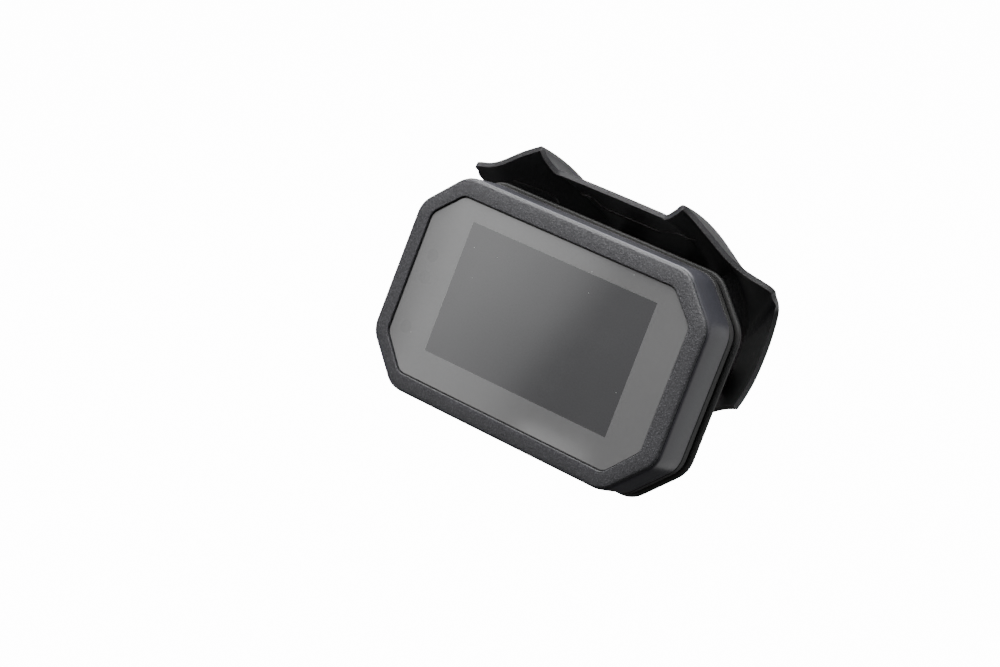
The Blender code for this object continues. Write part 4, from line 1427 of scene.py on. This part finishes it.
@dataclass
class FlyScreen:
    """The screen's moulding: a thin shell lofted through stations from its middle to its side."""

    shop: Workshop
    wall: float = 2.4
    rows: int = 26
    steps: int = 6
    tab_thick: float = 2.4
    edge: float = 0.65
    sharp: float = 50.0
    line_places: ClassVar[dict[str, tuple[Pair, ...]]] = {
        "roof_mould_line": (
            (-34.0, 50.0),
            (-29.5, 48.0),
            (-26.0, 48.0),
            (-25.0, 52.0),
            (-24.0, 57.0),
            (-20.0, 58.0),
            (0.0, 58.0),
            (9.0, 58.0),
            (14.0, 55.0),
            (20.5, 50.5),
            (26.0, 47.5),
            (31.0, 48.0),
            (34.0, 50.0),
        ),
        "shoulder_mould_line": (
            (-69.5, 44.5),
            (-64.5, 50.0),
            (-60.0, 56.0),
            (-56.0, 63.0),
            (-55.5, 68.0),
        ),
    }
    line_radius: float = 0.85
    line_from_z: float = 47.0
    line_sink: float = 0.1
    nose_rows: int = 12
    nose_run: Pair = (1.5, 5.0)
    nose_depth: Pair = (4.0, 11.0)
    nose_axis_z: float = 20.0
    nose_full_z: float = 28.0
    stations: tuple[tuple[Triple, Triple, Triple], ...] = (
        ((0.0, 22.5, 69.3), (0.0, 55.0, 64.5), (0.0, 88.0, 49.0)),
        ((27.5, 22.0, 69.2), (27.0, 55.0, 64.4), (25.0, 88.0, 49.5)),
        ((32.2, 20.0, 69.3), (32.0, 54.0, 65.0), (30.0, 88.0, 50.5)),
        ((37.2, 16.6, 72.8), (36.6, 52.5, 69.0), (33.5, 88.0, 52.6)),
        ((41.0, 15.2, 76.4), (41.0, 51.5, 73.0), (37.0, 88.0, 54.0)),
        ((45.6, 17.2, 74.9), (45.0, 52.5, 72.0), (40.5, 87.7, 53.2)),
        ((54.8, 20.4, 69.9), (52.5, 54.0, 67.0), (46.0, 87.0, 50.0)),
        ((66.5, 25.6, 62.9), (63.0, 56.0, 60.2), (53.0, 86.0, 43.5)),
        ((75.5, 30.4, 59.2), (70.5, 58.0, 54.6), (57.0, 85.0, 37.0)),
        ((87.4, 36.6, 56.4), (75.5, 60.0, 49.0), (60.0, 84.0, 31.0)),
        ((88.2, 41.8, 53.2), (76.2, 62.5, 45.8), (60.8, 83.6, 27.5)),
        ((86.6, 50.5, 49.2), (75.8, 66.5, 41.0), (61.0, 83.2, 23.5)),
        ((86.4, 54.6, 43.4), (75.4, 69.0, 36.0), (61.0, 83.0, 20.0)),
        ((86.4, 57.2, 29.5), (73.6, 71.0, 23.0), (61.0, 83.0, 9.0)),
        ((86.2, 57.2, 14.4), (72.5, 71.0, 8.5), (60.0, 83.0, -2.0)),
        ((85.8, 55.0, 4.0), (71.5, 70.0, -0.5), (59.0, 83.0, -8.5)),
        ((85.3, 52.6, -2.4), (70.5, 68.0, -6.5), (57.5, 83.0, -13.0)),
    )

    def eased(self, points: Sequence[Vector]) -> list[Vector]:
        """A smooth run of points through the given ones.

        Args:
            points: the points to pass through.

        Returns:
            The finer run.
        """
        found = []
        for i in range(len(points) - 1):
            before, start, end = points[max(i - 1, 0)], points[i], points[i + 1]
            after = points[min(i + 2, len(points) - 1)]
            for step in range(self.steps):
                t = step / self.steps
                bend = (end - before) * t + (2 * before - 5 * start + 4 * end - after) * t**2
                bend += (3 * start - before - 3 * end + after) * t**3
                found.append(start + bend / 2)
        found.append(points[-1])
        return found

    def nose_point(self, front: Vector, middle: Vector, t: float) -> Vector:
        """A point on the flange before the screen: turned in at the roof, straight at its lower ends.

        Args:
            front: where the flange starts.
            middle: the loft's middle point behind it, which gives the way onward.
            t: the share of the way along the flange.

        Returns:
            The point.
        """
        share = min(1.0, max(0.0, front.z / self.nose_full_z))
        onward = (front - middle).normalized()
        inward = Vector((-front.x, 0.0, self.nose_axis_z - front.z)).normalized()
        bend = front + onward * (self.nose_run[0] + (self.nose_run[1] - self.nose_run[0]) * share)
        way = (inward * share + onward * (1 - share)).normalized()
        end = bend + way * (self.nose_depth[0] + (self.nose_depth[1] - self.nose_depth[0]) * share)
        return front * (1 - t) ** 2 + bend * 2 * t * (1 - t) + end * t**2

    def skin(self) -> Form:
        """The outer face, lofted from the rear edge to the front edge.

        Returns:
            The open sheet.
        """
        mirrored = [tuple((-x, y, z) for x, y, z in station) for station in self.stations[:0:-1]]
        sections = mirrored + list(self.stations)
        edges = [self.eased([Vector(section[i]) for section in sections]) for i in range(3)]
        form = bmesh.new()
        lines = []
        for row in range(self.rows + 1):
            t = row / self.rows
            line = [a * (1 - t) ** 2 + b * 2 * t * (1 - t) + c * t**2 for a, b, c in zip(*edges)]
            lines.append([form.verts.new(point) for point in line])
        for row in range(1, self.nose_rows + 1):
            t = row / self.nose_rows
            line = [self.nose_point(front, middle, t) for middle, front in zip(*edges[1:])]
            lines.append([form.verts.new(point) for point in line])
        for first, second in zip(lines, lines[1:]):
            for i in range(len(first) - 1):
                form.faces.new((first[i], first[i + 1], second[i + 1], second[i]))
        return form

    def shell(self) -> Form:
        """The skin given its wall inwards.

        Returns:
            The closed shell.
        """
        sheet = as_object(self.skin(), "screen_sheet")
        if sum(face.normal.z for face in sheet.data.polygons) < 0:
            sheet.data.flip_normals()
        wall = sheet.modifiers.new("Wall", "SOLIDIFY")
        wall.thickness = self.wall
        wall.offset = -1.0
        wall.use_even_offset = True
        return evaluated_form(sheet)

    def tab(self, x: float, z: float, rear: float) -> Form:
        """A moulded tab inside the screen, down from its roof or in from its side.

        Args:
            x: its screw's place.
            z: its screw's height.
            rear: the depth of its rear face.

        Returns:
            The form.
        """
        front = rear + self.tab_thick
        if z > 20:
            return block((x - 7, rear, z - 7), (x + 7, front, 50.0), 0.4)
        low_x, high_x = sorted((x - math.copysign(6.0, x), math.copysign(59.4, x)))
        return block((low_x, rear, z - 6), (high_x, front, z + 7), 0.4)

    def build(self) -> None:
        """Builds the moulding with its tabs and their holes."""
        form = met(self.shell(), [self.tab(*place) for place in SCREEN_TABS], Operation.UNION)
        holes = [rod(2.5, y - 3.0, y + 4.0, (x, 0, z), 24) for x, z, y in SCREEN_TABS]
        form = met(form, holes, Operation.DIFFERENCE)
        self.mould_lines(form)
        tag = Tag("screen_moulding", Body.CARRIER, Slot.SCREEN, ("fly_screen",))
        self.shop.piece(form, tag, edge=self.edge, sharp=self.sharp)

    def mould_lines(self, form: Form) -> None:
        """Lays the raised lines that cross the roof and the shoulder, seen from inside the screen.

        Args:
            form: the screen's moulding, which the lines lie on.
        """
        surface = BVHTree.FromBMesh(form)
        for name, places in self.line_places.items():
            path = []
            for point in self.eased([Vector((*place, 0.0)) for place in places]):
                spot = surface.ray_cast(Vector((point.x, point.y, self.line_from_z)), Vector((0, 0, 1)))[0]
                if spot is not None:
                    path.append(tuple(spot + Vector((0.0, 0.0, self.line_sink))))
            tag = Tag(name, Body.CARRIER, Slot.SCREEN)
            self.shop.cord_ring(path, self.line_radius, closed=False, tag=tag)


# Studio


@dataclass(frozen=True)
class Softbox:
    """A soft lamp round the object: where it stands, its size and how bright its face is."""

    name: str
    azimuth: float
    elevation: float
    distance: float
    size: Pair
    radiance: float


@dataclass
class Studio:
    """The camera, the lamps, the floor and the backdrop."""

    axes: DisplayAxes
    azimuth: float = 40.3
    elevation: float = 33.7
    distance: float = 1.1695
    lens: float = 91.9
    aim: Pair = (-0.01597, -0.00351)
    floor_drop: float = 0.32
    room: float = 6.0
    floor_glow: float = 12.0
    backdrop_glow: float = 14.0
    room_light: tuple[Pair, Pair] = ((-0.5, 0.8), (0.05, 0.45))
    boxes: tuple[Softbox, ...] = (
        Softbox("overhead", -120.0, 66.0, 1.5, (1.8, 1.8), 9.0),
        Softbox("front_fill", 20.0, 50.0, 1.8, (0.9, 0.6), 2.0),
        Softbox("right_fill", 115.0, 25.0, 1.8, (0.8, 1.2), 2.2),
        Softbox("low_right", 140.0, -34.0, 1.5, (1.6, 1.6), 0.8),
        Softbox("rear_fill", 190.0, 35.0, 1.8, (1.2, 0.8), 6.0),
    )
    card_gap: float = 1000.0
    card_reach: Pair = (2.2, 2.4)

    @staticmethod
    def towards(azimuth: float, elevation: float) -> Vector:
        """The direction from the object to a place round it."""
        a, e = math.radians(azimuth), math.radians(elevation)
        return Vector((math.sin(a) * math.cos(e), -math.cos(a) * math.cos(e), math.sin(e)))

    def camera(self) -> None:
        """Makes the camera, aimed a little beside the middle of the glass."""
        back = self.towards(self.azimuth, self.elevation)
        turn = (-back).to_track_quat("-Z", "Y")
        data = bpy.data.cameras.new("camera")
        data.lens = self.lens
        data.sensor_width = 36.0
        data.clip_end = 4 * self.room
        camera = bpy.data.objects.new("camera", data)
        right, up = turn @ Vector((1, 0, 0)), turn @ Vector((0, 1, 0))
        camera.location = self.axes.origin + right * self.aim[0] + up * self.aim[1] + back * self.distance
        camera.rotation_euler = turn.to_euler()
        bpy.context.scene.collection.objects.link(camera)
        bpy.context.scene.camera = camera

    def lamp(self, box: Softbox) -> None:
        """Makes one softbox, facing the object.

        Args:
            box: the softbox.
        """
        data = bpy.data.lights.new(box.name, "AREA")
        data.shape = "RECTANGLE"
        data.size, data.size_y = box.size
        data.energy = box.radiance * math.pi * box.size[0] * box.size[1]
        lamp = bpy.data.objects.new(box.name, data)
        way = self.towards(box.azimuth, box.elevation)
        lamp.location = self.axes.origin + way * box.distance
        lamp.rotation_euler = way.to_track_quat("Z", "Y").to_euler()
        lamp.visible_camera = False
        bpy.context.scene.collection.objects.link(lamp)

    def white(self, name: str, glow: float) -> Finish:
        """A plain white finish that glows.

        Args:
            name: the finish's name.
            glow: how brightly it glows.

        Returns:
            The material.
        """
        material = bpy.data.materials.new(name)
        material.use_nodes = True
        shader = material.node_tree.nodes["Principled BSDF"]
        shader.inputs["Base Color"].default_value = (0.9, 0.9, 0.9, 1.0)
        shader.inputs["Roughness"].default_value = 0.9
        shader.inputs["Emission Color"].default_value = (1.0, 1.0, 1.0, 1.0)
        shader.inputs["Emission Strength"].default_value = glow
        return material

    def set_piece(self, form: Form, name: str, glow: float) -> None:
        """Makes a floor or a backdrop, which the camera sees and the object's surfaces don't.

        Args:
            form: its form. It is freed.
            name: its name.
            glow: how brightly it glows.
        """
        obj = as_object(form, name)
        obj.data.materials.append(self.white(f"{name}_white", glow))
        for rays in ("visible_diffuse", "visible_glossy", "visible_transmission", "visible_shadow"):
            setattr(obj, rays, False)

    def card(self) -> None:
        """Makes the card that the cover glass mirrors to the camera, brighter to one side.

        The card is parallel to the glass, so a place on the glass (1 = its edge) is a place on the card.
        """
        eye = self.axes.matrix().inverted() @ bpy.context.scene.camera.location
        gain = 1 + self.card_gap / -eye.y
        half = Vector((GLASS.half_width, (GLASS.top - GLASS.bottom) / 2)) * gain
        middle = (GLASS.top + GLASS.bottom) / 2 * gain
        form = bmesh.new()
        bmesh.ops.create_grid(form, x_segments=1, y_segments=1, size=1.0)
        bmesh.ops.rotate(form, matrix=Matrix.Rotation(math.radians(90), 3, "X"), verts=form.verts)
        bmesh.ops.scale(form, vec=(self.card_reach[0], 1.0, self.card_reach[1]), verts=form.verts)
        obj = as_object(form, "glass_card")
        move = Vector((eye.x, 0, eye.z)) * (1 - gain) + Vector((0, -self.card_gap, middle))
        size = Matrix.Diagonal((half.x, 1.0, half.y, 1.0))
        obj.matrix_world = self.axes.matrix() @ Matrix.Translation(move) @ size
        obj.visible_camera = False
        obj.data.materials.append(self.graded())

    def graded(self) -> Finish:
        """The card's glow, by the place on the glass that mirrors it, with a patch by its lower edge.

        Returns:
            The material.
        """
        material = bpy.data.materials.new("graded_glow")
        material.use_nodes = True
        material.node_tree.nodes.clear()
        sheet = NodeSheet(material.node_tree)
        # x and z run from -1 to 1 over the glass; the glow falls from its left edge to its right
        x, z = sheet.split(sheet.node("ShaderNodeTexCoord").outputs["Object"])
        slanted = sheet.sum("SUBTRACT", x, sheet.eased(z, (-1.0, 1.0), (-0.15, 0.15)))
        glow = sheet.product(
            (slanted, (-0.7, 0.15), (4.8, 3.4)),
            (slanted, (-0.05, 0.35), (1.0, 0.5)),
            (z, (-0.9, 0.9), (0.85, 1.05)),
            (x, (-1.0, -0.8), (0.5, 1.0)),
        )
        patch = sheet.product(
            (z, (-0.82, -0.93), (0.0, 3.0)),
            (x, (0.05, 0.25), (0.0, 1.0)),
            (x, (0.55, 0.75), (1.0, 0.0)),
        )
        lamp = sheet.node("ShaderNodeEmission", {"Strength": sheet.sum("ADD", glow, patch)})
        sheet.node("ShaderNodeOutputMaterial", {"Surface": lamp.outputs[0]})
        return material

    def surroundings(self) -> None:
        """Makes the floor, the backdrop and the even light of the room."""
        floor = bmesh.new()
        bmesh.ops.create_circle(floor, cap_ends=True, segments=64, radius=self.room)
        low = CAD_BOX[0].z - self.floor_drop
        bmesh.ops.translate(floor, vec=(0, 0, low), verts=floor.verts)
        self.set_piece(floor, "floor", self.floor_glow)
        dome = bmesh.new()
        bmesh.ops.create_uvsphere(dome, u_segments=48, v_segments=24, radius=self.room)
        self.set_piece(dome, "backdrop", self.backdrop_glow)
        world = bpy.data.worlds.new("room")
        world.use_nodes = True
        sheet = NodeSheet(world.node_tree)
        height = sheet.split(sheet.node("ShaderNodeTexCoord").outputs["Generated"])[1]
        background = sheet.tree.nodes["Background"]
        sheet.tree.links.new(sheet.spread(height, *self.room_light), background.inputs["Strength"])
        background.inputs["Color"].default_value = (1.0, 1.0, 1.0, 1.0)
        bpy.context.scene.world = world

    def build(self) -> None:
        """Builds the studio."""
        self.camera()
        for box in self.boxes:
            self.lamp(box)
        self.card()
        self.surroundings()


def main() -> None:
    """Builds the studio and every sub-assembly in order."""
    logging.basicConfig(level=logging.INFO, format="%(name)s: %(message)s")
    axes = DisplayAxes.of_frame()
    Studio(axes).build()
    shop = Workshop(axes, all_finishes(axes))
    FrontFrame(shop).build()
    shell = HousingShell(shop)
    shell.build()
    PlugSocket(shop).build()
    carrier = Carrier(shop)
    carrier.build()
    Isolators(shop).build()
    fasteners = Fasteners(shop)
    fasteners.cover_screws(shell.cover_screws)
    fasteners.isolator_screws()
    fasteners.tray_screws(carrier.tray_screws)
    screen = FlyScreen(shop)
    fasteners.screen_screws(SCREEN_TABS, screen.tab_thick)
    screen.build()
    dress_nodes(shop.finishes)


if __name__ == "__main__":
    main()
